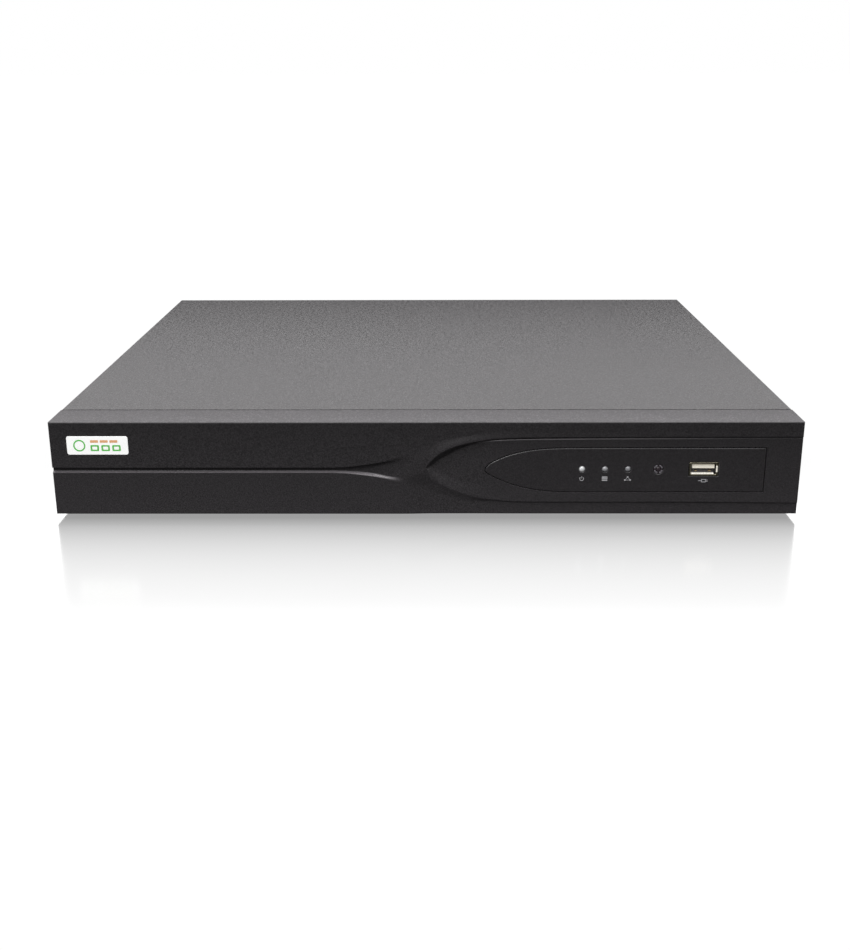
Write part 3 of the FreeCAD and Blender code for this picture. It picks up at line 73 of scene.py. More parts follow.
# ------------------------------------------------------------------ materials
class Nodes:
    """An emptied node tree with short ways to add nodes."""

    def __init__(self, owner):
        owner.use_nodes = True
        self.tree = owner.node_tree
        self.tree.nodes.clear()

    def put(self, socket, value):
        if isinstance(value, bpy.types.NodeSocket):
            self.tree.links.new(value, socket)
        elif isinstance(value, (tuple, list)) and socket.type == "RGBA" and len(value) == 3:
            socket.default_value = (*value, 1.0)
        else:
            socket.default_value = value

    def add(self, kind, inputs=None, **props):
        node = self.tree.nodes.new("ShaderNode" + kind)
        for key, value in props.items():
            setattr(node, key, value)
        for key, value in (inputs or {}).items():
            self.put(node.inputs[key], value)
        return node

    def out(self, kind, inputs=None, socket=0, **props):
        return self.add(kind, inputs, **props).outputs[socket]

    def separate(self, vector):
        return tuple(self.add("SeparateXYZ", {0: vector}).outputs)


class Mat(Nodes):
    """A principled material. Texture space is the row frame, in metres."""

    INPUTS = {"color": "Base Color", "rough": "Roughness", "metal": "Metallic",
              "normal": "Normal", "spec": "Specular IOR Level", "coat": "Coat Weight",
              "coat_rough": "Coat Roughness", "emit": "Emission Color",
              "emit_s": "Emission Strength"}

    def __init__(self, name):
        self.material = bpy.data.materials.new(name)
        super().__init__(self.material)
        self.output = self.add("OutputMaterial")
        self.shader = self.add("BsdfPrincipled")
        self.put(self.output.inputs[0], self.shader.outputs[0])
        self.co = self.out("TexCoord", socket="Object")

    def set(self, **values):
        """Fill the shader's inputs and hand back the finished material."""
        for key, value in values.items():
            self.put(self.shader.inputs[self.INPUTS[key]], value)
        return self.material

    def math(self, operation, first, second=0.0):
        return self.out("Math", {0: first, 1: second, 2: 0.0}, operation=operation)

    def noise(self, scale, detail=2.0, rough=0.5, co=None):
        return self.out("TexNoise", {"Vector": co or self.co, "Scale": scale,
                                     "Detail": detail, "Roughness": rough})

    def voronoi(self, scale, co):
        return self.out("TexVoronoi", {"Vector": co, "Scale": scale})

    def mapping(self, co=None, **inputs):
        return self.out("Mapping", {"Vector": co or self.co, **inputs})

    def ramp(self, factor, *stops, kind="LINEAR"):
        """stops are (position, grey or colour)."""
        node = self.add("ValToRGB", {0: factor})
        node.color_ramp.interpolation = kind
        elements = node.color_ramp.elements
        while len(elements) < len(stops):
            elements.new(0.5)
        for element, (position, color) in zip(elements, stops):
            element.position = position
            rgb = color if isinstance(color, tuple) else (color,) * 3
            element.color = (*rgb, 1.0)
        return node.outputs[0]

    def mix(self, factor, first, second, kind="MIX"):
        return self.out("Mix", {0: factor, 6: first, 7: second}, socket=2,
                        data_type="RGBA", blend_type=kind)

    def vary(self, value, low, high, start=0.3, end=0.7):
        """low to high as value goes from start to end, the usual span of a noise."""
        return self.out("MapRange", {0: value, 1: start, 2: end, 3: low, 4: high})

    def bump(self, height, distance, strength=1.0, normal=None):
        inputs = {"Height": height, "Distance": distance, "Strength": strength}
        if normal is not None:
            inputs["Normal"] = normal
        return self.out("Bump", inputs)

    def axes(self):
        return self.separate(self.co)

    def face_normal(self):
        return self.separate(self.out("NewGeometry", socket="Normal"))

    def edge(self, radius):
        """Rounded normals close to edges, for pieces too small for a modelled round."""
        return self.out("Bevel", {"Radius": radius}, samples=4)


def srgb(*rgb):
    """Linear colour from 0-255 sRGB."""
    return tuple((v / 255) / 12.92 if v / 255 <= 0.04045
                 else ((v / 255 + 0.055) / 1.055) ** 2.4 for v in rgb)


def scaled(color, factor):
    return tuple(min(1.0, v * factor) for v in color)


def powder(name, base, depth, rough):
    """Powder coat: orange-peel bumps with lighter and darker grains at two sizes."""
    grain, spec, spread = 0.0008, 0.4, 0.5
    mat = Mat(name)
    fine = mat.noise(1 / grain, rough=0.6)
    coarse = mat.noise(1 / (grain * 2.6), rough=0.6)
    dust = mat.noise(1.15 / grain, detail=1)
    cloud = mat.noise(9, detail=3)
    both = mat.math("ADD", mat.math("MULTIPLY", fine, 0.5), mat.math("MULTIPLY", coarse, 0.5))
    color = mat.mix(mat.ramp(both, (0.4, 0.0), (0.6, 1.0)),
                    scaled(base, 1 - spread), scaled(base, 1 + spread))
    color = mat.mix(mat.ramp(dust, (0.56, 0.0), (0.64, 1.0)), color, scaled(base, 2.9))
    color = mat.mix(mat.vary(cloud, 0.0, 0.14), color, scaled(base, 1.3))
    height = mat.math("ADD", mat.math("MULTIPLY", fine, 0.7), mat.math("MULTIPLY", coarse, 0.9))
    return mat.set(color=color, rough=mat.vary(coarse, rough - 0.1, rough + 0.12),
                   spec=mat.vary(coarse, spec * 0.5, spec * 1.6, start=0.35, end=0.65),
                   normal=mat.bump(height, depth))


def moulded(name, base, grain, rough, depth=0.00003, spec=0.45, spread=0.16, edge=None,
            painted_highlight=False, painted_height_shade=None):
    """Injection-moulded plastic with a spark-eroded skin. The highlight flag paints light onto
    upward faces and a highlight onto the lips the mesh attribute marks, which it also makes
    glossier; the height shade (low, high) paints shade from the foot of the case to its top."""
    mat = Mat(name)
    fine = mat.noise(1 / grain, rough=0.6)
    coarse = mat.noise(0.45 / grain)
    cloud = mat.noise(14)
    both = mat.math("ADD", mat.math("MULTIPLY", fine, 0.8), mat.math("MULTIPLY", coarse, 0.2))
    color = mat.mix(mat.ramp(both, (0.38, 0.0), (0.62, 1.0)),
                    scaled(base, 1 - spread), scaled(base, 1 + spread))
    color = mat.mix(mat.vary(cloud, 0.0, 0.12), color, scaled(base, 1.3))
    # painted shade: the skin is coloured lighter towards the foot of the case and darker towards
    # its top, standing in for light that falls unevenly
    if painted_height_shade:
        shade = mat.vary(mat.axes()[2], *painted_height_shade, start=UNDER * MM, end=(UNDER + TALL) * MM)
        grey = mat.out("CombineXYZ", {0: shade, 1: shade, 2: shade})
        color = mat.mix(1.0, color, grey, kind="MULTIPLY")
    normal = None if edge is None else mat.edge(edge)
    gloss = mat.vary(fine, rough - 0.05, rough + 0.08)
    if painted_highlight:
        # painted light: faces turned upwards get a lighter, speckled colour where the top
        # catches the light
        facing_up = mat.vary(mat.face_normal()[2], 0.0, 1.0, start=0.75, end=0.97)
        specks = mat.ramp(mat.noise(1300, detail=1), (0.56, 0.0), (0.64, 1.0))
        color = mat.mix(facing_up, color, mat.mix(specks, scaled(base, 1.9), scaled(base, 4.0)))
        # painted highlight: the lips the mesh attribute marks get a colour seven times lighter,
        # and are also made glossier
        lip_highlight = mat.out("Attribute", socket="Fac", attribute_name="painted_highlight")
        color = mat.mix(lip_highlight, color, scaled(base, 7.0))
        gloss = mat.math("SUBTRACT", gloss, mat.math("MULTIPLY", lip_highlight, 0.24))
        spec = mat.math("ADD", mat.math("MULTIPLY", lip_highlight, 0.5), spec)
    return mat.set(color=color, rough=gloss, spec=spec,
                   normal=mat.bump(both, depth, normal=normal))


def plain_metal(name, base, rough, streak=None, scratch=0.06, edge=0.00012, depth=0.00001):
    """Metal with fine wear; streak (x, y, z) stretches the grain for a brushed look."""
    mat = Mat(name)
    co = mat.mapping(Scale=streak) if streak else mat.co
    grain = mat.noise(1500 if streak else 900, detail=3, rough=0.6, co=co)
    stain = mat.noise(45, detail=3, rough=0.55)
    color = mat.mix(mat.vary(stain, 0.0, 0.22, start=0.35), base, scaled(base, 0.72))
    gloss = mat.math("ADD", mat.vary(grain, rough - scratch, rough + scratch),
                     mat.vary(stain, -0.03, 0.05))
    return mat.set(color=color, metal=1.0, rough=gloss,
                   normal=mat.bump(grain, depth, strength=0.6, normal=mat.edge(edge)))


def painted_glow(material, color, strength):
    """Paint light into a finished material as a faint glow, for parts that are no lamps."""
    inputs = material.node_tree.nodes["Principled BSDF"].inputs
    inputs["Emission Color"].default_value = (*color, 1)
    inputs["Emission Strength"].default_value = strength
    return material


def ink(name, base, glow):
    mat = Mat(name)
    # painted light: the glow makes the ink give off its own colour; print is no lamp
    return mat.set(color=mat.mix(mat.noise(800), base, scaled(base, 0.8)),
                   rough=0.45, spec=0.4, emit=base, emit_s=glow)


def milk(name, base, glow):
    """Milky lamp plastic."""
    mat = Mat(name)
    return mat.set(color=mat.mix(mat.noise(700), base, scaled(base, 0.86)), rough=0.16,
                   spec=0.6, emit=base, emit_s=glow, coat=0.4, coat_rough=0.08)


def window_glass():
    mat = Mat("window_glass")
    color = mat.mix(mat.noise(500), (0.03, 0.022, 0.028), (0.05, 0.035, 0.042))
    return mat.set(color=color, rough=0.12, spec=0.6, coat=0.5, coat_rough=0.05)


def badge_film():
    mat = Mat("badge_film")
    color = mat.mix(mat.noise(260, detail=3), (0.86, 0.87, 0.86), (0.92, 0.92, 0.91))
    # painted light: the film glows white so it looks brightly lit; it is no lamp
    return mat.set(color=color, rough=mat.vary(mat.noise(400), 0.22, 0.34),
                   coat=0.3, coat_rough=0.15, emit=(1, 1, 1), emit_s=0.45)


def label_film():
    mat = Mat("label_film")
    color = mat.mix(mat.noise(240, detail=3), (0.50, 0.50, 0.49), (0.58, 0.58, 0.57))
    return mat.set(color=color, rough=0.45, spec=0.4, coat=0.1, coat_rough=0.3)


def cast_alloy():
    mat = Mat("cast_alloy")
    fine = mat.noise(1900, detail=3, rough=0.6)
    color = mat.ramp(mat.noise(60, detail=4, rough=0.6),
                     (0.3, (0.16, 0.165, 0.17)), (0.7, (0.25, 0.255, 0.26)))
    return mat.set(color=color, metal=0.85, rough=mat.vary(fine, 0.42, 0.58),
                   normal=mat.bump(fine, 0.00005, strength=0.8, normal=mat.edge(0.0002)))


def black_anodised():
    mat = Mat("black_anodised")
    grain = mat.noise(1200, co=mat.mapping(Scale=(1, 0.06, 1)))
    color = mat.ramp(grain, (0.3, (0.012, 0.012, 0.014)), (0.7, (0.03, 0.03, 0.033)))
    return mat.set(color=color, metal=0.5, rough=mat.vary(grain, 0.3, 0.46),
                   normal=mat.bump(grain, 0.00001, strength=0.7, normal=mat.edge(0.00015)))


def circuit_board():
    """Solder mask over tracks along X and Y, with plated holes and small printed dashes."""
    mat = Mat("circuit_board")
    x, y, z = mat.axes()
    flat = mat.out("CombineXYZ", {0: x, 1: y, 2: mat.math("MULTIPLY", z, 0.6)})

    def tracks(co, scale, tone, **more):
        # thin cells: the mortar reads as the gap between tracks
        return mat.out("TexBrick", {"Vector": co, "Scale": scale, "Mortar Size": 0.07,
                                    "Color1": (1, 1, 1), "Color2": (tone,) * 3,
                                    "Mortar": (0, 0, 0), **more})

    def moved(**inputs):
        return mat.mapping(flat, **inputs)

    runs_x = tracks(moved(Scale=(1.0, 2.6, 1)), scale=260, tone=0.5, **{"Mortar Smooth": 0.1})
    runs_y = tracks(moved(Rotation=(0, 0, math.pi / 2)), scale=420, tone=0.4)
    patch = mat.math("GREATER_THAN", mat.noise(38, co=flat), 0.5)
    track = mat.mix(patch, runs_x, runs_y)
    where = mat.math("GREATER_THAN", mat.noise(70, detail=1, rough=0.4, co=flat), 0.47)
    track = mat.math("MULTIPLY", track, where)
    color = mat.mix(mat.math("MULTIPLY", track, 0.75), (0.004, 0.05, 0.022), (0.014, 0.15, 0.06))

    dots = mat.voronoi(330, flat)
    hole = mat.math("LESS_THAN", dots, 0.13)
    ring = mat.math("LESS_THAN", dots, 0.26)
    rare = mat.math("GREATER_THAN", mat.noise(110, detail=0, co=flat), 0.56)
    ring = mat.math("MULTIPLY", ring, rare)
    hole = mat.math("MULTIPLY", hole, rare)
    color = mat.mix(ring, color, (0.55, 0.5, 0.32))
    color = mat.mix(hole, color, (0.01, 0.01, 0.01))

    dash = mat.voronoi(240, moved(Scale=(1, 3.5, 1), Location=(0.31, 0.17, 0)))
    sparse = mat.noise(95, detail=0, co=moved(Location=(3.1, 1.7, 0)))
    dash = mat.math("MULTIPLY", mat.math("LESS_THAN", dash, 0.16),
                    mat.math("GREATER_THAN", sparse, 0.57))
    color = mat.mix(dash, color, (0.62, 0.64, 0.6))
    height = mat.math("ADD", mat.math("MULTIPLY", track, 0.5), mat.math("MULTIPLY", ring, 0.6))
    return mat.set(color=color, metal=mat.math("MULTIPLY", ring, 0.8), rough=0.3,
                   coat=0.35, coat_rough=0.12,
                   normal=mat.bump(height, 0.00003, strength=0.8, normal=mat.edge(0.00015)))


def chip_epoxy():
    """Moulded epoxy with faint printed bars on top."""
    mat = Mat("chip_epoxy")
    y = mat.axes()[1]
    fine = mat.noise(2600, rough=0.6)
    top = mat.math("GREATER_THAN", mat.face_normal()[2], 0.9)
    bars = mat.math("GREATER_THAN", mat.math("SINE", mat.math("MULTIPLY", y, 3800.0)), 0.55)
    broken = mat.noise(260, rough=0.6, co=mat.mapping(Scale=(1, 0.2, 1)))
    broken = mat.math("GREATER_THAN", broken, 0.5)
    print_on = mat.math("MULTIPLY", mat.math("MULTIPLY", bars, broken), top)
    base = mat.ramp(fine, (0.3, (0.010, 0.010, 0.011)), (0.7, (0.022, 0.022, 0.024)))
    color = mat.mix(mat.math("MULTIPLY", print_on, 0.45), base, (0.32, 0.32, 0.32))
    return mat.set(color=color, rough=mat.vary(fine, 0.45, 0.6),
                   normal=mat.bump(fine, 0.00002, strength=0.7, normal=mat.edge(0.0002)))


def capacitor():
    """Dark sleeve with a pale stripe towards +X, bare metal top."""
    mat = Mat("capacitor")
    x, _, z = mat.face_normal()
    top = mat.math("GREATER_THAN", z, 0.8)
    stripe = mat.math("GREATER_THAN", x, 0.82)
    fine = mat.noise(1500)
    sleeve = mat.mix(stripe, (0.012, 0.014, 0.03), (0.5, 0.51, 0.53))
    return mat.set(color=mat.mix(top, sleeve, (0.72, 0.73, 0.74)),
                   metal=mat.math("MULTIPLY", top, 0.95),
                   rough=mat.math("ADD", mat.vary(fine, 0.24, 0.36), 0.0),
                   normal=mat.bump(fine, 0.00001, strength=0.6, normal=mat.edge(0.0003)))


def cable(name, base):
    mat = Mat(name)
    grain = mat.noise(900)
    worn = mat.vary(mat.noise(60, detail=3), 0.0, 0.3)
    return mat.set(color=mat.mix(worn, base, scaled(base, 0.7)), spec=0.5,
                   rough=mat.vary(grain, 0.31, 0.43),
                   normal=mat.bump(grain, 0.00001, strength=0.5, normal=mat.edge(0.00025)))


def ribbon():
    """Flat cable: fine ribs across its width with one red edge."""
    pitch, red_below = 0.00127, 0.0995
    mat = Mat("ribbon")
    x = mat.axes()[0]
    wave = mat.math("SINE", mat.math("MULTIPLY", x, 2 * math.pi / pitch))
    red = mat.math("LESS_THAN", x, red_below)
    color = mat.mix(mat.vary(wave, 0, 1, start=-1, end=1),
                    (0.14, 0.145, 0.15), (0.27, 0.275, 0.285))
    return mat.set(color=mat.mix(red, color, (0.45, 0.03, 0.03)), rough=0.42,
                   normal=mat.bump(wave, 0.00015, strength=0.9))


def power_wire():
    """A bundle whose wires change colour from one to the next."""
    mat = Mat("power_wire")
    black = (0.018, 0.018, 0.02)
    color = mat.ramp(mat.out("NewGeometry", socket="Random Per Island"),
                     (0.0, (0.42, 0.015, 0.015)), (0.27, black),
                     (0.52, (0.5, 0.36, 0.02)), (0.76, black), kind="CONSTANT")
    grain = mat.noise(900)
    return mat.set(color=color, rough=mat.vary(grain, 0.3, 0.42),
                   normal=mat.bump(grain, 0.00001, strength=0.5, normal=mat.edge(0.0002)))


cover_paint = powder("cover_powder", (0.047, 0.0440, 0.0460), depth=0.0002, rough=0.42)
# the bezel and panel skins carry painted light: a height gradient of shade, and on the bezel
# painted highlights on its upward faces and lips
bezel_skin = moulded("bezel_skin", (0.0315, 0.0290, 0.0312), grain=0.00048, depth=0.00009,
                     rough=0.46, spec=0.38, spread=0.5, painted_highlight=True, painted_height_shade=(1.42, 0.84))
panel_skin = moulded("panel_skin", (0.0285, 0.0262, 0.0282), grain=0.00045, depth=0.00007,
                     rough=0.45, spec=0.36, spread=0.42, painted_height_shade=(1.36, 0.9))
# painted highlight: the insert's rounded edge gets a lighter copy of the panel plastic, with
# real extra gloss
panel_edge_painted_highlight = moulded("panel_edge_painted_highlight", (0.058, 0.055, 0.058), grain=0.0004, depth=0.00001,
                     rough=0.24, spec=0.7, spread=0.2)
tray_paint = powder("tray_powder", (0.03, 0.03, 0.032), depth=0.00014, rough=0.5)


# ------------------------------------------------------------- mesh building
def new_mesh(name, verts, faces):
    """A mesh from millimetre coordinates."""
    mesh = bpy.data.meshes.new(name)
    points = [tuple(float(v) * MM for v in vert) for vert in verts]
    mesh.from_pydata(points, [], [tuple(int(i) for i in face) for face in faces])
    return mesh


def clean(mesh, merge=0.0, mark_edge=False):
    """Turn all faces outward. merge joins points closer than that, in metres; mark_edge gives
    faces that lean away from Y the second material."""
    work = bmesh.new()
    work.from_mesh(mesh)
    if merge:
        bmesh.ops.remove_doubles(work, verts=work.verts, dist=merge)
    bmesh.ops.recalc_face_normals(work, faces=work.faces)
    if mark_edge:
        for face in work.faces:
            face.material_index = 1 if abs(face.normal.y) < 0.97 else 0
    work.to_mesh(mesh)
    work.free()


def finish(name, mesh, materials, slot, smooth=35.0, stands_for=(), flat=False):
    """Put a mesh in the scene as a piece of the chassis; smooth is in degrees."""
    obj = bpy.data.objects.new(name, mesh)
    scene.collection.objects.link(obj)
    for material in materials:
        mesh.materials.append(material)
    if not flat:
        mesh.polygons.foreach_set("use_smooth", np.ones(len(mesh.polygons), bool))
        mesh.set_sharp_from_angle(angle=math.radians(smooth))
    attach(obj, "chassis")
    if stands_for:
        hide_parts(*stands_for)
    return obj


def round_edges(obj, width):
    bevel = obj.modifiers.new("round", "BEVEL")
    bevel.width = width * MM
    bevel.segments = 2
    bevel.limit_method = "ANGLE"
    bevel.angle_limit = math.radians(CREASE_ANGLE)
    return bevel


def plate(name, loops, front, thick, material, bevel, edge=None, **kw):
    """A flat plate facing -Y with rounded edges, from outlines in x and z. The first loop is
    the outside, the others are holes. edge finishes the rounded edge only."""
    curve = bpy.data.curves.new(name, "CURVE")
    curve.dimensions = "2D"
    curve.fill_mode = "BOTH"
    curve.extrude = (thick / 2 - bevel) * MM
    curve.bevel_depth = bevel * MM
    curve.bevel_resolution = 2
    curve.offset = -bevel * MM
    for loop in loops:
        spline = curve.splines.new("POLY")
        spline.points.add(len(loop) - 1)
        for point, (x, z) in zip(spline.points, loop):
            point.co = (x * MM, z * MM, 0, 1)
        spline.use_cyclic_u = True
    drawn = bpy.data.objects.new(name + "_tmp", curve)
    scene.collection.objects.link(drawn)
    bpy.context.view_layer.update()
    graph = bpy.context.evaluated_depsgraph_get()
    mesh = bpy.data.meshes.new_from_object(drawn.evaluated_get(graph))
    bpy.data.objects.remove(drawn)
    bpy.data.curves.remove(curve)
    mesh.materials.clear()
    # local X, Y, Z become x, z and -y
    middle = (front + thick / 2) * MM
    mesh.transform(Matrix(((1, 0, 0, 0), (0, 0, -1, middle), (0, 1, 0, 0), (0, 0, 0, 1))))
    clean(mesh, merge=1e-6, mark_edge=edge is not None)
    obj = finish(name, mesh, [material] if edge is None else [material, edge], **kw)
    for polygon in mesh.polygons:
        polygon.use_smooth = abs(polygon.normal.y) < 0.99
    return obj


def lathe(name, profile, centre, material, sides, **kw):
    """A piece turned about Y: profile is (radius, y from the centre) from one end to the
    other; radius 0 closes an end."""
    cx, cy, cz = centre
    verts, faces, rings = [], [], []
    for radius, y in profile:
        count = 1 if radius < 1e-6 else sides
        rings.append(range(len(verts), len(verts) + count))
        for k in range(count):
            angle = 2 * math.pi * k / sides
            reach = 0.0 if count == 1 else radius
            verts.append((cx + reach * math.sin(angle), cy + y, cz + reach * math.cos(angle)))
    for one, two in zip(rings, rings[1:]):
        for k in range(sides):
            after = (k + 1) % sides
            if len(one) == 1:
                faces.append((one[0], two[k], two[after]))
            elif len(two) == 1:
                faces.append((one[k], two[0], one[after]))
            else:
                faces.append((one[k], two[k], two[after], one[after]))
    return finish(name, new_mesh(name, verts, faces), [material], smooth=40, **kw)


def loft(name, loops, materials, capped=False, **kw):
    """Skin through closed loops of the same number of points."""
    count = len(loops[0])
    verts = [point for loop in loops for point in loop]
    faces = []
    for i in range(len(loops) - 1):
        for k in range(count):
            after = (k + 1) % count
            faces.append((i * count + k, (i + 1) * count + k,
                          (i + 1) * count + after, i * count + after))
    if capped:
        faces.append(tuple(range(count)))
        faces.append(tuple((len(loops) - 1) * count + k for k in range(count))[::-1])
    mesh = new_mesh(name, verts, faces)
    clean(mesh, merge=1e-7)
    return finish(name, mesh, materials, slot="port_nickel", **kw)


# ------------------------------------------------------- curves and outlines
def pchip(points, x):
    """Monotone cubic through points, level outside them."""
    xs, ys = np.array(points, float).T
    run = np.diff(xs)
    rise = np.diff(ys) / run
    slope = np.zeros(len(xs))
    for i in range(1, len(xs) - 1):
        if rise[i - 1] * rise[i] > 0:
            after, before = 2 * run[i] + run[i - 1], run[i] + 2 * run[i - 1]
            slope[i] = (after + before) / (after / rise[i - 1] + before / rise[i])
    slope[0], slope[-1] = rise[0], rise[-1]
    x = np.clip(np.asarray(x, float), xs[0], xs[-1])
    i = np.clip(np.searchsorted(xs, x, side="right") - 1, 0, len(xs) - 2)
    t = (x - xs[i]) / run[i]
    return ((2 * t**3 - 3 * t**2 + 1) * ys[i] + (t**3 - 2 * t**2 + t) * run[i] * slope[i]
            + (-2 * t**3 + 3 * t**2) * ys[i + 1] + (t**3 - t**2) * run[i] * slope[i + 1])


def step(t):
    """Smooth step from 0 to 1."""
    t = np.clip(t, 0, 1)
    return t * t * (3 - 2 * t)


def ease(t, straight):
    """From a smooth step at straight = 0 to a straight ramp at 1."""
    return step(t) * (1 - straight) + t * straight


def rounded(points, steps=8):
    """Closed Catmull-Rom curve through points; a point given twice in a row stays a corner."""
    def between(one, two, start, end, t):
        return (end - t) / (end - start) * one + (t - start) / (end - start) * two

    out = []
    count = len(points)
    for i in range(count):
        near = [np.array(points[(i + j - 1) % count], float) for j in range(4)]
        span = near[2] - near[1]
        if np.allclose(near[1], near[2]):
            continue
        if np.allclose(near[0], near[1]):
            near[0] = near[1] - span
        if np.allclose(near[2], near[3]):
            near[3] = near[2] + span
        knots = [0.0]
        for one, two in zip(near, near[1:]):
            knots.append(knots[-1] + np.linalg.norm(two - one) ** 0.5)
        for k in range(steps):
            t = knots[1] + (knots[2] - knots[1]) * k / steps
            mix = [between(near[j], near[j + 1], knots[j], knots[j + 1], t) for j in range(3)]
            mix = [between(mix[j], mix[j + 1], knots[j], knots[j + 2], t) for j in range(2)]
            out.append(tuple(between(mix[0], mix[1], knots[1], knots[2], t)))
    return out


def signed_distance(x, z, loop):
    """Distance from each point to the closed loop, negative inside, and the outward gradient."""
    starts = np.array(loop, float)
    best = np.full(x.shape, 1e9)
    grad_x, grad_z = np.zeros_like(best), np.zeros_like(best)
    inside = np.zeros(x.shape, bool)
    for (ax, az), (bx, bz) in zip(starts, np.roll(starts, -1, 0)):
        ex, ez = bx - ax, bz - az
        t = np.clip(((x - ax) * ex + (z - az) * ez) / max(ex * ex + ez * ez, 1e-12), 0, 1)
        dx, dz = x - (ax + t * ex), z - (az + t * ez)
        distance = np.hypot(dx, dz)
        near = distance < best
        best = np.where(near, distance, best)
        grad_x, grad_z = np.where(near, dx, grad_x), np.where(near, dz, grad_z)
        drop = ez if abs(ez) > 1e-12 else 1e-12
        inside ^= ((az > z) != (bz > z)) & (x < ex * (z - az) / drop + ax)
    sign = np.where(inside, -1.0, 1.0)
    length = np.maximum(best, 1e-9)
    return best * sign, grad_x / length * sign, grad_z / length * sign


def arc(x, z, radius, start, end, steps):
    """Points along an arc, angles in degrees, both ends included."""
    angles = [math.radians(start + (end - start) * k / steps) for k in range(steps + 1)]
    return [(x + radius * math.cos(a), z + radius * math.sin(a)) for a in angles]


def circle_loop(x, z, radius, sides=48):
    return [(x + radius * math.cos(2 * math.pi * k / sides),
             z + radius * math.sin(2 * math.pi * k / sides)) for k in range(sides)]


def box_loop(left, right, low, high, radius, steps=5):
    corners = ((right - radius, high - radius), (left + radius, high - radius),
               (left + radius, low + radius), (right - radius, low + radius))
    return [point for turn, (x, z) in enumerate(corners)
            for point in arc(x, z, radius, 90 * turn, 90 * turn + 90, steps)]


def boxes(x, z, rows, steps=5):
    """Boxes about (x, z); rows are (left, right, low, high, corner radius)."""
    return [box_loop(x + left, x + right, z + low, z + high, radius, steps)
            for left, right, low, high, radius in rows]


def arc_loop(x, z, inner, outer, start, end, steps=28):
    """Part of a ring, angles in degrees."""
    return arc(x, z, outer, start, end, steps) + arc(x, z, inner, end, start, steps)


def bar_loop(x0, z0, x1, z1, width):
    dx, dz = x1 - x0, z1 - z0
    k = width / 2 / math.hypot(dx, dz)
    ox, oz = -dz * k, dx * k
    return [(x0 + ox, z0 + oz), (x1 + ox, z1 + oz), (x1 - ox, z1 - oz), (x0 - ox, z0 - oz)]


# ------------------------------------------------- front moulding, full relief
# Lines across the face: (x, z above the underside). The leaf's tip is at x = 0.
UPPER_CREASE = [(-190, 25.2), (-50, 25.2), (-43.4, 25.35), (-28.1, 27.0), (-17.1, 29.6),
                (-11, 32.4), (-3, 36.0), (7, 39.2), (15, 41.0), (30, 43.2), (45, 44.2),
                (60, 44.4), (190, 44.4)]
UPPER_EDGE = [(0.0, 25.2), (2.0, 27.8), (5.0, 31.0), (10, 34.4), (13.3, 35.9), (16.7, 37.1),
              (25, 38.9), (34, 40.1), (43.6, 40.6), (55, 40.85), (87.8, 41.05),
              (144.5, 41.2), (190, 41.25)]
LOWER_CREASE = [(-190, 22.35), (-50, 22.35), (-43.4, 22.2), (-28.2, 20.7), (-13.3, 17.6),
                (-5.3, 15.0), (3, 12.0), (10, 9.2), (17, 7.3), (25, 6.6), (34.5, 6.9),
                (44.2, 6.35), (61.9, 6.2), (114.7, 6.2), (190, 5.7)]
LOWER_EDGE = [(0.0, 25.2), (3.2, 19.8), (9.1, 15.3), (16.9, 11.9), (24.7, 9.7), (34.5, 8.0),
              (44.2, 7.0), (61.9, 6.7), (114.7, 6.7), (190, 6.2)]
# Left of the tip: (x, forward height of the groove's floor).
FLOOR = [(-190, -1.6), (-50, -1.6), (-38, -1.75), (-28, -1.8), (-20, -1.35), (-13, -0.5),
         (-6, 0.15), (0, 0.45)]
# Left of the tip: (x, how far the groove's upper and lower flanks run in z).
WALL_UP = [(-190, 0.35), (-50, 0.35), (-38, 0.5), (-28, 0.8), (-20, 1.8), (-13, 4.4),
           (-6, 7.6), (0, 10.2)]
WALL_LOW = [(-190, 0.7), (-50, 0.72), (-38, 0.85), (-28, 1.1), (-20, 1.1), (-13, 2.6),
            (-6, 7.0), (0, 11.2)]
# Right of the tip: (x, forward height) of the ridges above and below the leaf.
CREST_UP = [(0, 0.45), (4, 0.75), (9, 0.9), (17, 0.8), (25, 0.55), (35, 0.3), (50, 0.15),
            (80, 0.08), (190, 0.05)]
CREST_LOW = [(0, 0.45), (4, 0.02), (10, -0.08), (16, -0.13), (25, -0.18), (35, -0.2),
             (50, -0.2), (190, -0.2)]
# Right of the tip: (x, depth of the hollow in the leaf), (x, run in z of the drop into it).
TROUGH = [(0, 0.3), (1, 0.6), (3, 0.85), (6, 1.15), (12, 1.25), (20, 0.8), (28, 0.35),
          (38, 0.0), (190, 0.0)]
CLIFF = [(0, 0.9), (1, 1.9), (3, 3.0), (6, 3.6), (10, 3.7), (13.3, 3.2), (16.7, 2.5),
         (23, 1.5), (28, 1.05), (38, 0.6), (50, 0.4), (190, 0.35)]
# (x, forward height) of the plane under the lower crease.
LOW_PLANE = [(-190, -0.3), (-12, -0.3), (4, -0.85), (22, -0.9), (45, -0.75), (190, -0.7)]
# Strength of the painted highlight, with glossier skin, along the groove and along the seam: (x,
# 0 to 1).
HIGHLIGHT_GROOVE = [(-190, 0.55), (-60, 0.6), (-44, 0.75), (-34, 1.0), (-23, 0.9), (-16, 0.3),
              (-11, 0.0), (190, 0.0)]
HIGHLIGHT_SEAM = [(-190, 0.0), (18, 0.0), (30, 0.45), (55, 0.42), (110, 0.3), (160, 0.05),
            (190, 0.0)]
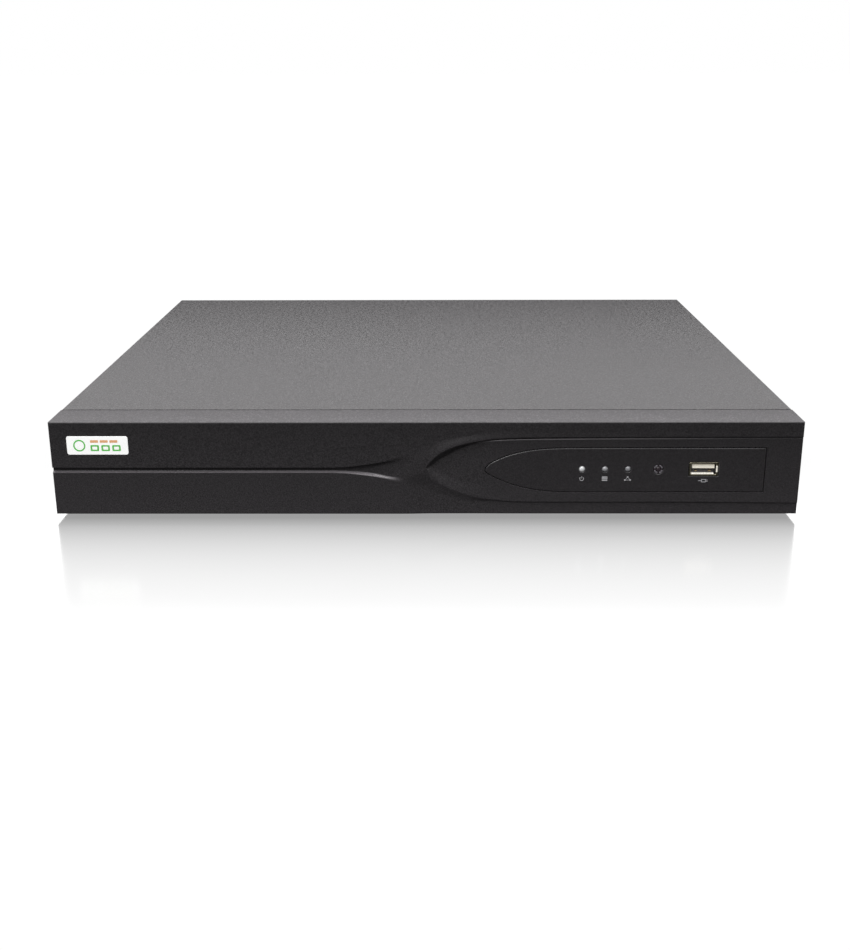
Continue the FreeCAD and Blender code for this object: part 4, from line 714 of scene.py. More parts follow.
# The insert's outline: (x, z above the underside), square at its right end.
INSERT = rounded([
    (30.35, 23.6), (31.3, 25.6), (33.4, 27.4), (39, 30.3), (43.9, 32.0), (51.5, 33.8),
    (58.6, 34.7), (67.5, 35.2), (78, 35.3), (110, 35.3), (171.8, 35.3), (171.8, 35.3),
    (171.8, 12.1), (171.8, 12.1), (110, 12.1), (80, 12.1), (68.6, 12.25), (58, 13.1),
    (48.1, 15.1), (41.5, 17.2), (35.9, 19.7), (31.9, 21.9)])
INSERT_GAP = 0.45       # from the insert's outline to its pocket's rim
POCKET = -2.3           # height of the pocket's floor
BORDER = 0.5            # round along the outer border
# Distances from the border where the round has grid lines.
BORDER_STEPS = np.array([0.0, 0.03, 0.08, 0.15, 0.25, 0.37])
# Rings behind the border: (inset, y), out to the back edge, round it and forward inside.
BACK = -151.0
WALLS = [(0.0, -171.0), (0.0, BACK - 0.35), (0.12, BACK - 0.1), (0.35, BACK), (1.75, BACK),
         (1.95, BACK - 0.15), (2.0, BACK - 0.4), (2.0, -171.9)]


def front_height(x, z):
    """Forward height of the moulding's face over its main plane, by x and z above the
    underside."""
    crease_up, crease_low = pchip(UPPER_CREASE, x), pchip(LOWER_CREASE, x)
    low = pchip(LOW_PLANE, x)
    # left of the leaf's tip: a groove that opens into a saddle
    floor = pchip(FLOOR, x)
    down = np.clip((crease_up - z) / pchip(WALL_UP, x), 0, 1)
    upper = floor * ease(down, step((x + 10) / 10) * 0.5)
    up = np.clip((z - crease_low) / pchip(WALL_LOW, x), 0, 1)
    lower = low + (floor - low) * ease(up, 1 - step((x + 26) / 16))
    left = np.where(z >= (crease_up + crease_low) / 2, upper, lower)
    # right of it: ridge above, leaf, soft shoulder below
    x_right = np.maximum(x, 0.0)
    edge_up, edge_low = pchip(UPPER_EDGE, x_right), pchip(LOWER_EDGE, x_right)
    crest_up, crest_low = pchip(CREST_UP, x_right), pchip(CREST_LOW, x_right)
    down = np.clip((crease_up - z) / np.maximum(crease_up - edge_up, 0.05), 0, 1)
    above = crest_up * (step(down * 1.15) * 0.5 + down * 0.5)
    up = np.clip((z - crease_low) / np.maximum(edge_low - crease_low, 0.05), 0, 1)
    soft = step(x_right / 9) * (1 - step((x_right - 14) / 16))
    below = low + (crest_low - low) * ((up ** 1.8) * soft + step(up) * (1 - soft))
    inward = step((z - edge_low) / np.minimum(7.0, np.maximum(edge_up - edge_low, 0.3)))
    leaf = LEAF + (crest_low - LEAF) * (1 - inward)
    cliff = pchip(CLIFF, x_right)
    deep = pchip(TROUGH, x_right)
    leaf = leaf - deep * np.exp(-np.maximum(edge_up - z - cliff, 0) / 18.0) * inward
    down = np.clip((edge_up - z) / cliff, 0, 1)
    straight = np.clip(deep / 0.8, 0, 1) * 0.85
    leaf = leaf + (crest_up - leaf) * (1 - ease(down, straight))
    # a narrow seam along the leaf's upper edge
    seam_depth = 0.65 - 0.3 * step((x_right - 45) / 60) - 0.12 * step((x_right - 110) / 60)
    seam = (np.clip((x_right - 20) / 20, 0, 1) * seam_depth
            * np.clip(1 - np.abs(z - (edge_up - 0.4)) / 0.55, 0, 1))
    right = np.where(z > edge_up, above, np.where(z < edge_low, below, leaf)) - seam
    return np.where(x < 0, left, right)


def highlight_mask(x, z):
    """Where a highlight is painted on the skin, which is also made glossier there: the lower
    flank of the groove and the lower lip of the leaf's top seam."""
    up = (z - pchip(LOWER_CREASE, x)) / pchip(WALL_LOW, x)
    flank = np.clip(1 - np.abs(up - 0.5) / 0.62, 0, 1) ** 0.5 * pchip(HIGHLIGHT_GROOVE, x)
    edge_up = pchip(UPPER_EDGE, np.maximum(x, 0))
    seam = np.clip(1 - np.abs(z - (edge_up - 0.85)) / 0.42, 0, 1) * pchip(HIGHLIGHT_SEAM, x)
    return np.clip(np.maximum(np.where(x < -4, flank, 0), np.where(x > 10, seam, 0)), 0, 1)


def spaced(*parts):
    """Stations through joined spans; parts are (start, end, spacing)."""
    out = [parts[0][0]]
    for start, end, spacing in parts:
        count = max(1, int(round((end - start) / spacing)))
        out += [start + (end - start) * (k + 1) / count for k in range(count)]
    return np.array(out)


def build_front():
    fine = 0.22
    xs = spaced((-HALF + BORDER, -50, 2.4), (-50, -16, 0.5), (-16, 62, fine), (62, 168, 1.0),
                (168, 174, fine), (174, HALF - BORDER, 1.0))
    xs = np.concatenate([-HALF + BORDER_STEPS, xs, HALF - BORDER_STEPS[::-1]])
    zs = spaced((BORDER, TALL - BORDER, fine))
    zs = np.concatenate([BORDER_STEPS, zs, TALL - BORDER_STEPS[::-1]])
    grid_x, grid_z = np.meshgrid(xs, zs, indexing="ij")
    # bring grid points close to the crisp lines exactly onto them
    for line, start in ((UPPER_EDGE, 2.0), (LOWER_EDGE, 14.0),
                        (UPPER_CREASE, -999), (LOWER_CREASE, -999)):
        target = pchip(line, grid_x)
        near = ((np.abs(grid_z - target) < fine * 0.5) & (grid_x > start)
                & (grid_x < HALF - 1.2) & (grid_x > -HALF + 1.2))
        grid_z = np.where(near, target, grid_z)
    # the same for the rim of the insert's pocket
    x, z = grid_x.copy(), grid_z.copy()
    region = (x > 29) & (x < 173) & (z > 11) & (z < 36.6)
    distance, grad_x, grad_z = signed_distance(x[region], z[region], INSERT)
    distance = distance - INSERT_GAP
    close = np.abs(distance) < fine * 0.5
    x[region] = np.where(close, x[region] - grad_x * distance, x[region])
    z[region] = np.where(close, z[region] - grad_z * distance, z[region])
    pocket = np.zeros(x.shape, bool)
    pocket[region] = ~close & (distance < -0.01)
    height = np.where(pocket, POCKET, front_height(x, z))
    # a small round all along the border
    border = np.minimum(np.minimum(grid_x + HALF, HALF - grid_x),
                        np.minimum(grid_z, TALL - grid_z))
    inset = np.clip(BORDER - border, 0, BORDER)
    height = height - (BORDER - np.sqrt(np.maximum(BORDER * BORDER - inset * inset, 0)))

    verts = np.stack([x.ravel(), (FRONT - height).ravel(), (z + UNDER).ravel()], 1)
    grid = np.arange(x.size).reshape(x.shape)
    all_verts = [verts]
    all_faces = [np.stack([grid[:-1, :-1].ravel(), grid[1:, :-1].ravel(),
                           grid[1:, 1:].ravel(), grid[:-1, 1:].ravel()], 1)]
    count = len(verts)
    ring = np.concatenate([grid[:, 0], grid[-1, 1:], grid[-2::-1, -1], grid[0, -2:0:-1]])
    rim_x, rim_z = verts[ring, 0], verts[ring, 2]
    for inward, y in WALLS:
        wall_x = rim_x * (HALF - inward) / HALF
        wall_z = MID_Z + (rim_z - MID_Z) * (TALL / 2 - inward) / (TALL / 2)
        all_verts.append(np.stack([wall_x, np.full(len(wall_x), y), wall_z], 1))
        behind = np.arange(count, count + len(wall_x))
        count += len(wall_x)
        all_faces.append(np.stack([ring, np.roll(ring, -1), np.roll(behind, -1), behind],
                                  1)[:, ::-1])
        ring = behind
    faces = [face for block in all_faces for face in block.tolist()]
    faces.append(ring.tolist()[::-1])
    mesh = new_mesh("front_moulding", np.concatenate(all_verts).tolist(), faces)
    # the painted highlight along the groove and the seam, kept on the face's points
    painted_highlight = np.zeros(count, np.float32)
    painted_highlight[:len(verts)] = highlight_mask(x, z).ravel()
    attribute = mesh.attributes.new("painted_highlight", "FLOAT", "POINT")
    attribute.data.foreach_set("value", painted_highlight)
    clean(mesh)
    finish("front_moulding", mesh, [bezel_skin], slot="bezel_plastic", smooth=50,
           stands_for=("front_bezel",))


build_front()

# ----------------------------------------------------------- indicator insert
plate("indicator_insert",
      [[(x, z + UNDER) for x, z in INSERT]]
      + [circle_loop(x, LAMP_Z, LAMP_HOLE) for x in LAMPS]
      + [circle_loop(WINDOW_X, LAMP_Z, WINDOW_HOLE)]
      + boxes(PORT_X, LAMP_Z, [(-7.65, 7.65, -3.75, 3.75, 0.6)]),
      FACE, 2.0, panel_skin, bevel=0.34, edge=panel_edge_painted_highlight, slot="panel_plastic",
      stands_for=("indicator_panel",))
ink_white = ink("ink_white", srgb(205, 204, 207), glow=0.04)


def printed(name, loops, y=FACE, material=ink_white):
    """A mark raised a hair from the face it is printed on."""
    plate(name, loops, y - 0.03, 0.06, material, bevel=0.008, slot="badge_white")


def print_marks():
    """Marks under the lamps: a broken ring with a bar, a stack, three linked dots; then a
    plug under the port."""
    mark_z = 22.2
    x = LAMPS[0]
    printed("mark_power", [arc_loop(x, mark_z - 0.1, 0.8, 1.14, 130, 410)]
            + boxes(x, mark_z, [(-0.17, 0.17, 0.05, 1.3, 0.06)]))
    printed("mark_disk", boxes(LAMPS[1], mark_z, [
        (-1.45, 1.45, 0.46, 1.12, 0.3),
        (-1.45, 1.45, -0.38, 0.22, 0.25),
        (-1.45, 1.45, -1.22, -0.62, 0.25)]))
    x = LAMPS[2]
    dots = [(-1.35, -0.75), (1.35, -0.75), (0, 0.8)]
    # link ends: x, z, x, z
    links = [(-1.02, -0.36, -0.33, 0.42), (1.02, -0.36, 0.33, 0.42), (-0.86, -0.75, 0.86, -0.75)]
    printed("mark_network",
            [circle_loop(x + dx, mark_z + dz, 0.45, 20) for dx, dz in dots]
            + [bar_loop(x + x0, mark_z + z0, x + x1, mark_z + z1, 0.24)
               for x0, z0, x1, z1 in links])
    printed("mark_port", boxes(PORT_X, 21.1, [
        (-0.9, 1.5, -0.85, 0.85, 0.25), (-0.55, 1.15, -0.5, 0.5, 0.12),
        (1.62, 2.3, 0.16, 0.5, 0.06), (1.62, 2.3, -0.5, -0.16, 0.06),
        (-2.4, -1.0, -0.15, 0.15, 0.06)]))


print_marks()

# Milky lamp domes, each the tip of its own light pipe: (radius, y from PART_Y).
PIPE = [(0, 0.0), (0.35, 0.02), (0.72, 0.12), (1.05, 0.3), (1.3, 0.56), (1.45, 0.88),
        (1.5, 1.25), (1.5, 3.55), (1.56, 3.62), (2.04, 3.62), (2.1, 3.68), (2.1, 4.42),
        (2.04, 4.5), (1.56, 4.5), (1.5, 4.56), (1.5, 12.6), (1.36, 12.78), (0, 12.8)]
for x, (node, base, glow) in zip(LAMPS, (
        ("power_light_pipe", (0.82, 0.83, 0.84), 0.12),
        ("disk_light_pipe", (0.42, 0.42, 0.44), 0.04),
        ("network_light_pipe", (0.33, 0.33, 0.35), 0.03))):
    lathe(node + "_lens", PIPE, (x, PART_Y, LAMP_Z), milk(node + "_milk", base, glow),
          sides=40, slot="lens_white", stands_for=(node,))

# Receiver window: a dark lens with a ring of four segments and a disc on it.
WINDOW = [(0, 0.35), (0.5, 0.3), (0.9, 0.42), (1.2, 0.66), (1.3, 0.9), (1.35, 0.92),
          (2.42, 0.95), (2.5, 1.05), (2.5, 3.75), (3.22, 3.75), (3.3, 3.83), (3.3, 4.5),
          (3.22, 4.58), (0, 4.58)]
window_rim = moulded("window_rim", srgb(118, 114, 120), grain=0.0003, rough=0.35)
dark_glass = window_glass()
lathe("window_lens", WINDOW, (WINDOW_X, PART_Y, LAMP_Z), dark_glass, sides=48, slot="ir_lens",
      stands_for=("ir_window",))
plate("window_segments",
      [arc_loop(WINDOW_X, LAMP_Z, 1.55, 2.35, 90 * k + 14, 90 * k + 76, 12) for k in range(4)]
      + [circle_loop(WINDOW_X, LAMP_Z, 0.75, 24)],
      -174.74, 0.4, window_rim, bevel=0.08, slot="panel_plastic")

# ----------------------------------------------------------------- front port
PORT_FACE = -174.8
PORT_DEEP = 14.2
# The shell's closed section: (half width, half height, y behind the lip, corner radius).
SHELL = [(6.6, 3.0, PORT_DEEP, 0.5), (6.6, 3.0, 0.95, 0.5), (6.75, 3.12, 0.62, 0.55),
         (7.35, 3.5, 0.5, 0.8), (7.5, 3.62, 0.36, 0.9), (7.5, 3.62, 0.16, 0.9),
         (7.4, 3.52, 0.03, 0.85), (7.2, 3.38, 0, 0.75), (6.85, 3.1, 0.03, 0.6),
         (6.5, 2.84, 0.18, 0.5), (6.32, 2.7, 0.5, 0.42), (6.3, 2.7, 1.0, 0.42),
         (6.3, 2.7, PORT_DEEP, 0.42)]
bright_nickel = plain_metal("bright_nickel", (0.5, 0.46, 0.37), rough=0.24, scratch=0.05,
                            depth=0.000006)
# painted shade: the shell's nickel is a darker copy of the bright nickel, and the cavity's inner
# wall is near black
painted_shade_wall = plain_metal("port_inner_wall", (0.022, 0.02, 0.017), rough=0.4)
painted_shade_nickel = plain_metal("port_lip_nickel", (0.24, 0.22, 0.17), rough=0.26, scratch=0.05,
                         depth=0.000006)
# painted highlight: the port's lower lip and side tab are bright nickel made to glow, standing
# in for the light they catch
PAINTED_LIT_NICKEL = (0.93, 0.9, 0.82)
painted_lit_nickel = painted_glow(
    plain_metal("painted_lit_nickel", PAINTED_LIT_NICKEL, rough=0.3, scratch=0.05, depth=0.000004),
    PAINTED_LIT_NICKEL, strength=0.55)
spring_bronze = plain_metal("spring_bronze", (0.4, 0.3, 0.16), rough=0.34)


def port_shell():
    """Drawn shell with a rolled lip; its nickel is a darker copy as painted shade, and its inner
    wall is near black as painted shade in the cavity.
    """
    loops = [[(PORT_X + x, PORT_FACE + back, LAMP_Z + z)
              for x, z in box_loop(-half_x, half_x, -half_z, half_z, radius, 6)]
             for half_x, half_z, back, radius in SHELL]
    loops.append(loops[0])
    shell = loft("front_port_shell", loops, [painted_shade_nickel, painted_shade_wall], smooth=50,
                 stands_for=("front_usb_shell",))
    # painted shade: the faces deep inside the opening take the near-black wall
    for polygon in shell.data.polygons:
        x, y, z = polygon.center / MM
        if y > PORT_FACE + 0.9 and abs(x - PORT_X) < 6.4 and abs(z - LAMP_Z) < 2.8:
            polygon.material_index = 1


def tab(name, left, right, low, high, y=-174.95, lean=0.25, material=painted_lit_nickel):
    """A small bent tab of the port's shell, its front edge rolled. Box relative to the port."""
    loops = []
    # y behind the front edge, inset, shift in z
    for back, inset, dz in ((2.6, 0.0, -lean), (1.4, 0.0, -lean * 0.4), (0.6, 0.0, 0.0),
                            (0.25, 0.03, 0.02), (0.08, 0.1, 0.02), (0.0, 0.2, 0.02)):
        box = box_loop(PORT_X + left + inset, PORT_X + right - inset,
                       LAMP_Z + low + inset * 0.8, LAMP_Z + high - inset * 0.8, 0.1, 4)
        loops.append([(x, y + back, z + dz) for x, z in box])
    loft(name, loops, [material], capped=True, smooth=40)


port_shell()
tab("front_port_lip_low", -6.1, 5.2, -2.72, -2.02)
for number, left in ((1, -4.4), (2, 2.6)):
    tab("front_port_spring_%d" % number, left, left + 1.3, -1.5, -1.0, y=-173.4,
        material=spring_bronze)
tab("front_port_lip_side", 6.32, 7.1, -1.6, 1.8, lean=0.0)

# ---------------------------------------------------------------------- badge
white_film = badge_film()


def build_badge():
    """Film-topped plate with a plain ring and plain blocks."""
    left, right, low, high = -181.3, -150.3, 35.2, 44.8
    face = FRONT - 0.3
    plate("badge", [box_loop(left, right, low, high, 1.1, 8)], face, 0.6, white_film,
          bevel=0.14, slot="badge_white", stands_for=("badge_plate",))
    # painted light: the badge inks glow so they look brightly lit
    green = ink("ink_green", (0.16, 0.62, 0.13), glow=0.22)
    orange = ink("ink_orange", (0.92, 0.5, 0.25), glow=0.22)
    x, z = left + 6.4, (low + high) / 2
    printed("badge_ring", [circle_loop(x, z, 3.1), circle_loop(x, z, 2.35)], face, green)

    def row(pitch, *box):
        return [loop for k in range(3) for loop in boxes(x + pitch * k, z, [box])]

    printed("badge_bar_orange", row(4.9, 5.6, 9.7, 1.5, 2.9, 0.35), face, orange)
    printed("badge_bar_green", row(5.5, 5.6, 9.9, -2.9, 0.3, 0.5)
            + row(5.5, 6.5, 9.0, -2.1, -0.5, 0.3), face, green)


build_badge()

# ------------------------------------------------- materials of the CAD parts
black_nylon = moulded("black_nylon", (0.014, 0.014, 0.016), grain=0.0004, rough=0.42,
                      edge=0.00015)
white_nylon = moulded("white_nylon", (0.74, 0.71, 0.62), grain=0.0005, depth=0.00001,
                      rough=0.42, spread=0.05, edge=0.00012)
gold_plate = plain_metal("gold_plate", (0.86, 0.6, 0.24), rough=0.22)
SLOT_MATERIAL = {
    "cover_paint": cover_paint,
    "tray_paint": tray_paint,
    "bezel_plastic": bezel_skin,
    "panel_plastic": panel_skin,
    "badge_white": white_film,
    "lens_white": white_nylon,
    "header_white": white_nylon,
    "ir_lens": dark_glass,
    "ir_body": black_nylon,
    "port_black": black_nylon,
    "switch_black": black_nylon,
    "port_nickel": bright_nickel,
    "gold_contact": gold_plate,
    "rubber_black": moulded("rubber", (0.018, 0.018, 0.019), grain=0.0006, depth=0.00004,
                            rough=0.75, spec=0.3, edge=0.0003),
    "fan_black": moulded("fan_plastic", (0.012, 0.012, 0.014), grain=0.0006, rough=0.34,
                         spec=0.5, edge=0.0002),
    # painted light: the port's ivory tongue glows so it looks brightly lit; it is no lamp
    "port_ivory": painted_glow(
        moulded("ivory_nylon", (0.93, 0.89, 0.79), grain=0.0004, depth=0.00001, rough=0.4,
                spread=0.05, edge=0.00012),
        (0.9, 0.84, 0.7), strength=0.3),
    "port_blue": moulded("blue_nylon", (0.012, 0.06, 0.32), grain=0.0004, depth=0.00002,
                         rough=0.4, edge=0.00015),
    "terminal_green": moulded("green_nylon", (0.018, 0.2, 0.06), grain=0.0004,
                              depth=0.00002, rough=0.38, edge=0.00015),
    "brass_part": plain_metal("nickel_brass", (0.72, 0.55, 0.28), rough=0.28),
    "zinc_screw": plain_metal("zinc_plate", (0.6, 0.6, 0.58), rough=0.3, edge=0.0001),
    "black_screw": plain_metal("black_oxide", (0.045, 0.043, 0.042), rough=0.36, edge=0.0001),
    "cell_steel": plain_metal("cell_steel", (0.72, 0.72, 0.7), rough=0.18,
                              streak=(1, 0.15, 1)),
    "platter": plain_metal("platter_mirror", (0.82, 0.82, 0.84), rough=0.05, scratch=0.02,
                           depth=0.000001),
    "arm_alloy": plain_metal("machined_alloy", (0.74, 0.74, 0.75), rough=0.32,
                             streak=(1, 6, 1)),
    "drive_lid": plain_metal("brushed_lid", (0.40, 0.405, 0.415), rough=0.4,
                             streak=(0.08, 2.2, 1), scratch=0.1),
    "motor_copper": plain_metal("enamelled_copper", (0.8, 0.36, 0.16), rough=0.25,
                                streak=(1, 8, 1)),
    "drive_casting": cast_alloy(),
    "heatsink_black": black_anodised(),
    "circuit_board": circuit_board(),
    "chip_black": chip_epoxy(),
    "capacitor_can": capacitor(),
    "cable_red": cable("red_cable", (0.42, 0.012, 0.012)),
    "cable_black": cable("black_cable", (0.014, 0.014, 0.015)),
    "cable_grey": cable("grey_cable", (0.42, 0.43, 0.44)),
}
# Nodes that differ from the rest of their slot.
NODE_MATERIAL = {"front_ribbon_cable": ribbon(), "power_wires": power_wire(),
                 "connector_contacts": gold_plate}
# CAD nodes whose place a new piece takes.
REPLACED = ("front_bezel", "indicator_panel", "badge_plate", "power_light_pipe",
            "disk_light_pipe", "network_light_pipe", "ir_window", "front_usb_shell")
# Real rounds on the edges that show, in millimetres.
ROUND = {
    "top_cover": 0.35, "chassis_tray": 0.25, "rubber_feet": 0.5, "cover_screws": 0.15,
    "switch_housing": 0.3, "switch_rocker": 0.25, "terminal_plug": 0.2,
    "terminal_header": 0.2, "heatsink": 0.15, "rear_usb_shell": 0.12,
    "audio_jack_bodies": 0.25, "dc_jack_body": 0.25, "fan_frame": 0.3,
    "left_drive_case": 0.4, "right_drive_case": 0.4, "left_drive_lid": 0.25,
    "right_drive_lid": 0.25, "video_port_jackscrews": 0.15, "lan_port_shields": 0.15,
    "board_headers": 0.12, "front_usb_tongue": 0.12, "rear_port_tongues": 0.12,
    "coin_cell": 0.2, "coin_cell_holder": 0.2, "ir_receiver": 0.2, "board_components": 0.12}


def soften(obj, width):
    """Merge the CAD triangles back to flat faces and round the edges; with no width, only
    split the sharp edges."""
    for name in ("custom_normal", "sharp_face", "sharp_edge"):
        attribute = obj.data.attributes.get(name)
        if attribute is not None:
            obj.data.attributes.remove(attribute)
    weld = obj.modifiers.new("weld", "WELD")
    weld.merge_threshold = 2e-6
    if width:
        flat = obj.modifiers.new("flat", "DECIMATE")
        flat.decimate_type = "DISSOLVE"
        flat.angle_limit = math.radians(1.0)
        bevel = round_edges(obj, width)
        bevel.use_clamp_overlap = True
        bevel.miter_outer = "MITER_ARC"
        even = obj.modifiers.new("even", "WEIGHTED_NORMAL")
        even.weight = 90
        even.keep_sharp = False
    else:
        split = obj.modifiers.new("split", "EDGE_SPLIT")
        split.split_angle = math.radians(32)


slots = {part["node"]: part["material_slot"] for part in frame["record"]["subparts"]}
for node, obj in frame["nodes"].items():
    obj.data.materials.clear()
    obj.data.materials.append(NODE_MATERIAL.get(node) or SLOT_MATERIAL[slots[node]])
    if node not in REPLACED:
        soften(obj, ROUND.get(node, 0))
        obj.data.polygons.foreach_set("use_smooth", np.ones(len(obj.data.polygons), bool))

# -------------------------------------- blind bosses inside the moulding
# (radius, y)
BOSS = [(0, -171.6), (3.4, -171.6), (3.4, -171.9), (2.7, -172.3), (2.5, -172.8),
        (2.46, -160.9), (2.2, -160.65), (1.1, -160.6), (1.0, -160.9), (1.0, -168.0),
        (0, -168.3)]
for x in (60, 165):
    for z in (7.5, 40.5):
        lathe("bezel_boss_%d_%d" % (x, z), BOSS, (x, 0.0, z + UNDER), bezel_skin, sides=28,
              slot="bezel_plastic")

# --------------------------------------------------------------- drive labels
paper = label_film()
ink_black = ink("ink_black", (0.02, 0.02, 0.022), glow=0.0)
ink_blue = ink("ink_blue", (0.03, 0.12, 0.35), glow=0.0)


def sheet(name, loops, top, material):
    """A thin sheet lying flat, its upper face at z = top, outlines in x and y."""
    obj = plate(name, loops, 0.0, 0.08, material, bevel=0.02, slot="badge_white")
    # from facing -Y to facing +Z
    obj.data.transform(Matrix(((1, 0, 0, 0), (0, 0, 1, 0), (0, -1, 0, top * MM),
                               (0, 0, 0, 1))))
    for polygon in obj.data.polygons:
        polygon.use_smooth = False


def drive_label(side, x):
    """Plain film with a blue band, ruled boxes and bars, no words."""
    y = -52.0           # the label's front edge
    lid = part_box(side + "_drive_lid")[1][2] / MM
    name = side + "_drive_label"
    sheet(name, boxes(x, y, [(-36, 36, 0, 46, 2.0)], 6), lid + 0.1, paper)
    sheet(name + "_band", boxes(x, y, [(-36, 36, 38, 46, 1.6)], 6), lid + 0.14, ink_blue)
    start = x - 32
    widths = (0.35, 0.6, 0.25, 0.75, 0.4)
    bars = [box_loop(start + 1.1 * k, start + 1.1 * k + widths[(k * 7) % 5],
                     y + 4, y + 12, 0.05, 2) for k in range(28)]
    lines = [box_loop(start, start + width, y + 34 - 3.1 * k, y + 34 - 3.1 * k + 1.0, 0.2, 3)
             for k, width in enumerate((30, 24, 28, 17, 26, 20))]
    cells = boxes(x, y, [(6, 32, 5, 33, 0.5), (6.5, 31.5, 5.5, 18.6, 0.3),
                         (6.5, 31.5, 19.2, 32.5, 0.3)], 3)
    sheet(name + "_bars", bars + lines + cells, lid + 0.14, ink_black)


drive_label("left", -125)
drive_label("right", -10)

# ----------------------------------------------- snap hooks on the moulding
HOOK_TIP = -150.6
HOOK_HALF = 6.0
# Root, arm and a barb with a lead-in: (y, distance outward from the moulding's edge).
HOOK = [(-157.0, -6.0), (HOOK_TIP + 3.6, -6.0), (HOOK_TIP + 4.0, -5.6),
        (HOOK_TIP + 4.0, -5.0), (HOOK_TIP + 2.9, -3.75), (HOOK_TIP + 2.0, -3.7),
        (HOOK_TIP + 1.6, -4.4), (-153.7, -4.4), (-154.0, -4.1), (-154.0, -1.7),
        (-157.0, -1.7)]


def hook(x, side):
    edge, outward = (UNDER + TALL, 1) if side == "top" else (UNDER, -1)
    count = len(HOOK)
    verts = [(x + end * HOOK_HALF, y, edge + outward * out) for end in (-1, 1)
             for y, out in HOOK]
    faces = [tuple(range(count)), tuple(range(2 * count - 1, count - 1, -1))]
    for k in range(count):
        after = (k + 1) % count
        faces.append((k, count + k, count + after, after))
    name = "bezel_hook_%s_%d" % (side, x + 200)
    mesh = new_mesh(name, verts, faces)
    clean(mesh)
    round_edges(finish(name, mesh, [bezel_skin], slot="bezel_plastic", flat=True), 0.15)


for x in (-150, -50, 50, 150):
    hook(x, "top")
    hook(x, "low")


# ---------------------------------------------------------------------- stage
def build_floor():
    """Pale floor with a faint mirror image close to the object. The camera sees it almost
    white; other rays meet a dark matt surface."""
    mesh = bpy.data.meshes.new("floor")
    work = bmesh.new()
    bmesh.ops.create_grid(work, x_segments=40, y_segments=40, size=40.0)
    work.to_mesh(mesh)
    work.free()
    floor = bpy.data.objects.new("floor", mesh)
    scene.collection.objects.link(floor)
    mat = Mat("pale_floor")
    mat.tree.nodes.remove(mat.shader)

    def beyond(value, half):
        return mat.math("MAXIMUM", mat.math("SUBTRACT", mat.math("ABSOLUTE", value), half), 0.0)

    # the shine fades with distance from the object, faster sideways
    x, y, _ = mat.axes()
    dx = mat.math("MULTIPLY", beyond(x, 0.188), 3.5)
    dy = beyond(y, 0.172)
    away = mat.math("SQRT", mat.math("ADD", mat.math("MULTIPLY", dx, dx),
                                     mat.math("MULTIPLY", dy, dy)))
    fading = mat.math("EXPONENT", mat.math("MULTIPLY", away, -21.0))
    shine = mat.math("MULTIPLY", fading, 0.66)
    plain = mat.out("Emission", {"Color": (1, 1, 1), "Strength": 1.02})
    glossy = mat.out("BsdfGlossy", {"Color": (1, 1, 1), "Roughness": 0.16})
    seen = mat.out("MixShader", {0: shine, 1: plain, 2: glossy})
    matt = mat.out("BsdfDiffuse", {"Color": (0.08, 0.08, 0.08)})
    camera_ray = mat.out("LightPath", socket="Is Camera Ray")
    both = mat.out("MixShader", {0: camera_ray, 1: matt, 2: seen})
    mat.put(mat.output.inputs[0], both)
    mesh.materials.append(mat.material)


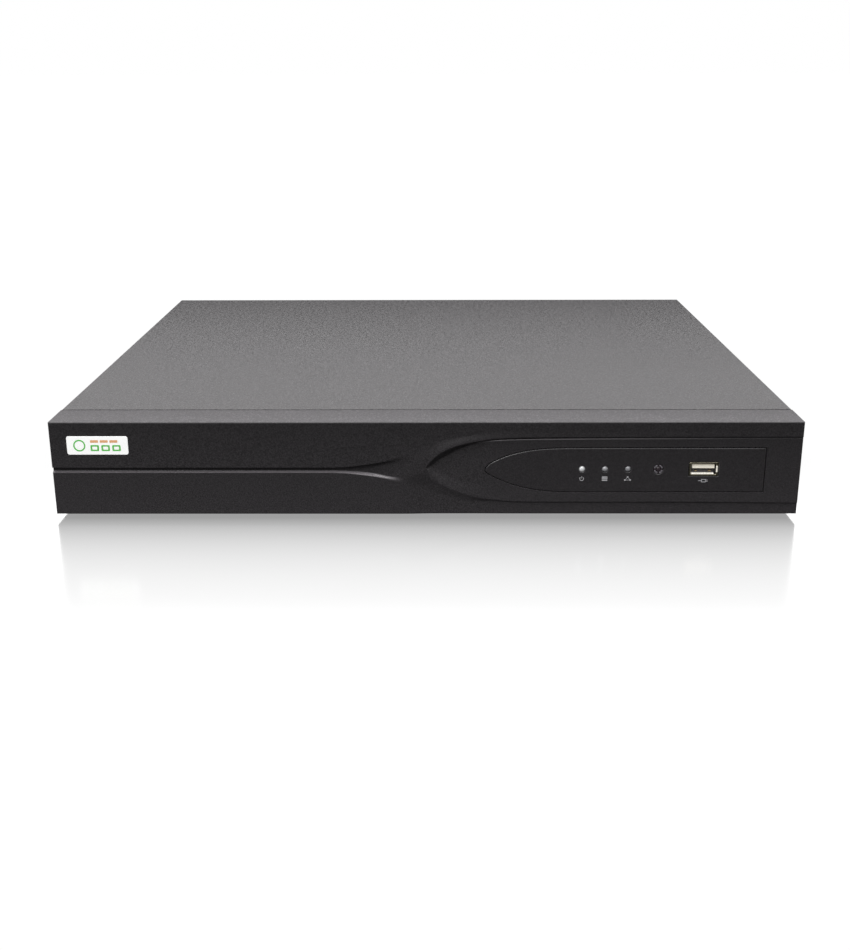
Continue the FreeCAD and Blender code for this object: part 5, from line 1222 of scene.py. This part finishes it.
def build_world():
    """White to the camera; as light, stronger from the front and from overhead."""
    world = bpy.data.worlds.new("studio")
    scene.world = world
    sky = Nodes(world)
    _, y, z = sky.separate(sky.out("TexCoord", socket="Generated"))
    along = sky.out("MapRange", {0: y, 1: -0.6, 2: 0.8, 3: 0.36, 4: 0.12})
    double = sky.out("Math", {0: z, 1: 2.0}, operation="MULTIPLY", use_clamp=True)
    curve = sky.out("Math", {0: double, 1: 2.0}, operation="POWER")
    rise = sky.out("MapRange", {0: curve, 1: 0.0, 2: 1.0, 3: 0.05, 4: 2.3})
    strength = sky.out("Math", {0: along, 1: rise}, operation="MULTIPLY")
    lit = sky.out("Background", {1: strength})
    seen = sky.out("Background", {0: (1, 1, 1)})
    camera_ray = sky.out("LightPath", socket="Is Camera Ray")
    sky.add("OutputWorld", {0: sky.out("MixShader", {0: camera_ray, 1: lit, 2: seen})})


def area(name, place, target, size, size_y, power):
    light = bpy.data.lights.new(name, "AREA")
    light.shape = "RECTANGLE"
    light.size, light.size_y = size, size_y
    light.energy = power
    obj = bpy.data.objects.new(name, light)
    scene.collection.objects.link(obj)
    obj.location = place
    obj.rotation_mode = "QUATERNION"
    obj.rotation_quaternion = (Vector(target) - Vector(place)).to_track_quat("-Z", "Y")
    obj.visible_camera = False


def build_camera():
    """In front of the object and above it, looking back along +Y and down."""
    place = (5.13, -765.45, 220.85)
    pitch, yaw, roll = 0.3167, -0.0091, -0.003  # radians; pitch is downward
    data = bpy.data.cameras.new("camera")
    camera = bpy.data.objects.new("camera", data)
    scene.collection.objects.link(camera)
    scene.camera = camera
    ahead = Vector((math.sin(yaw) * math.cos(pitch), math.cos(yaw) * math.cos(pitch),
                    -math.sin(pitch)))
    level = Vector((math.cos(yaw), -math.sin(yaw), 0))
    upright = level.cross(ahead)
    right = level * math.cos(roll) + upright * math.sin(roll)
    up = -level * math.sin(roll) + upright * math.cos(roll)
    rows = [(right[i], up[i], -ahead[i], place[i] * MM) for i in range(3)]
    camera.matrix_world = Matrix((*rows, (0, 0, 0, 1)))
    data.sensor_width = 36.0
    data.lens = 46.39642105
    data.shift_y = -0.006084210526
    data.clip_start = 0.01
    data.clip_end = 120.0


build_floor()
build_world()
area("overhead", (0.0, -0.26, 0.7), (0, -0.2, 0.0), size=1.3, size_y=0.3, power=4.6)
area("front_top", (-0.55, -1.05, 1.1), (-0.06, -0.15, 0.02), size=0.8, size_y=0.35, power=9.0)
area("back_wall", (0.0, 0.36, 0.36), (0, -0.4, 0.30), size=1.5, size_y=0.40, power=2.9)
build_camera()
scene.view_settings.view_transform = "Standard"
scene.view_settings.look = "None"
scene.view_settings.exposure = 0.0
scene.view_settings.gamma = 1.0
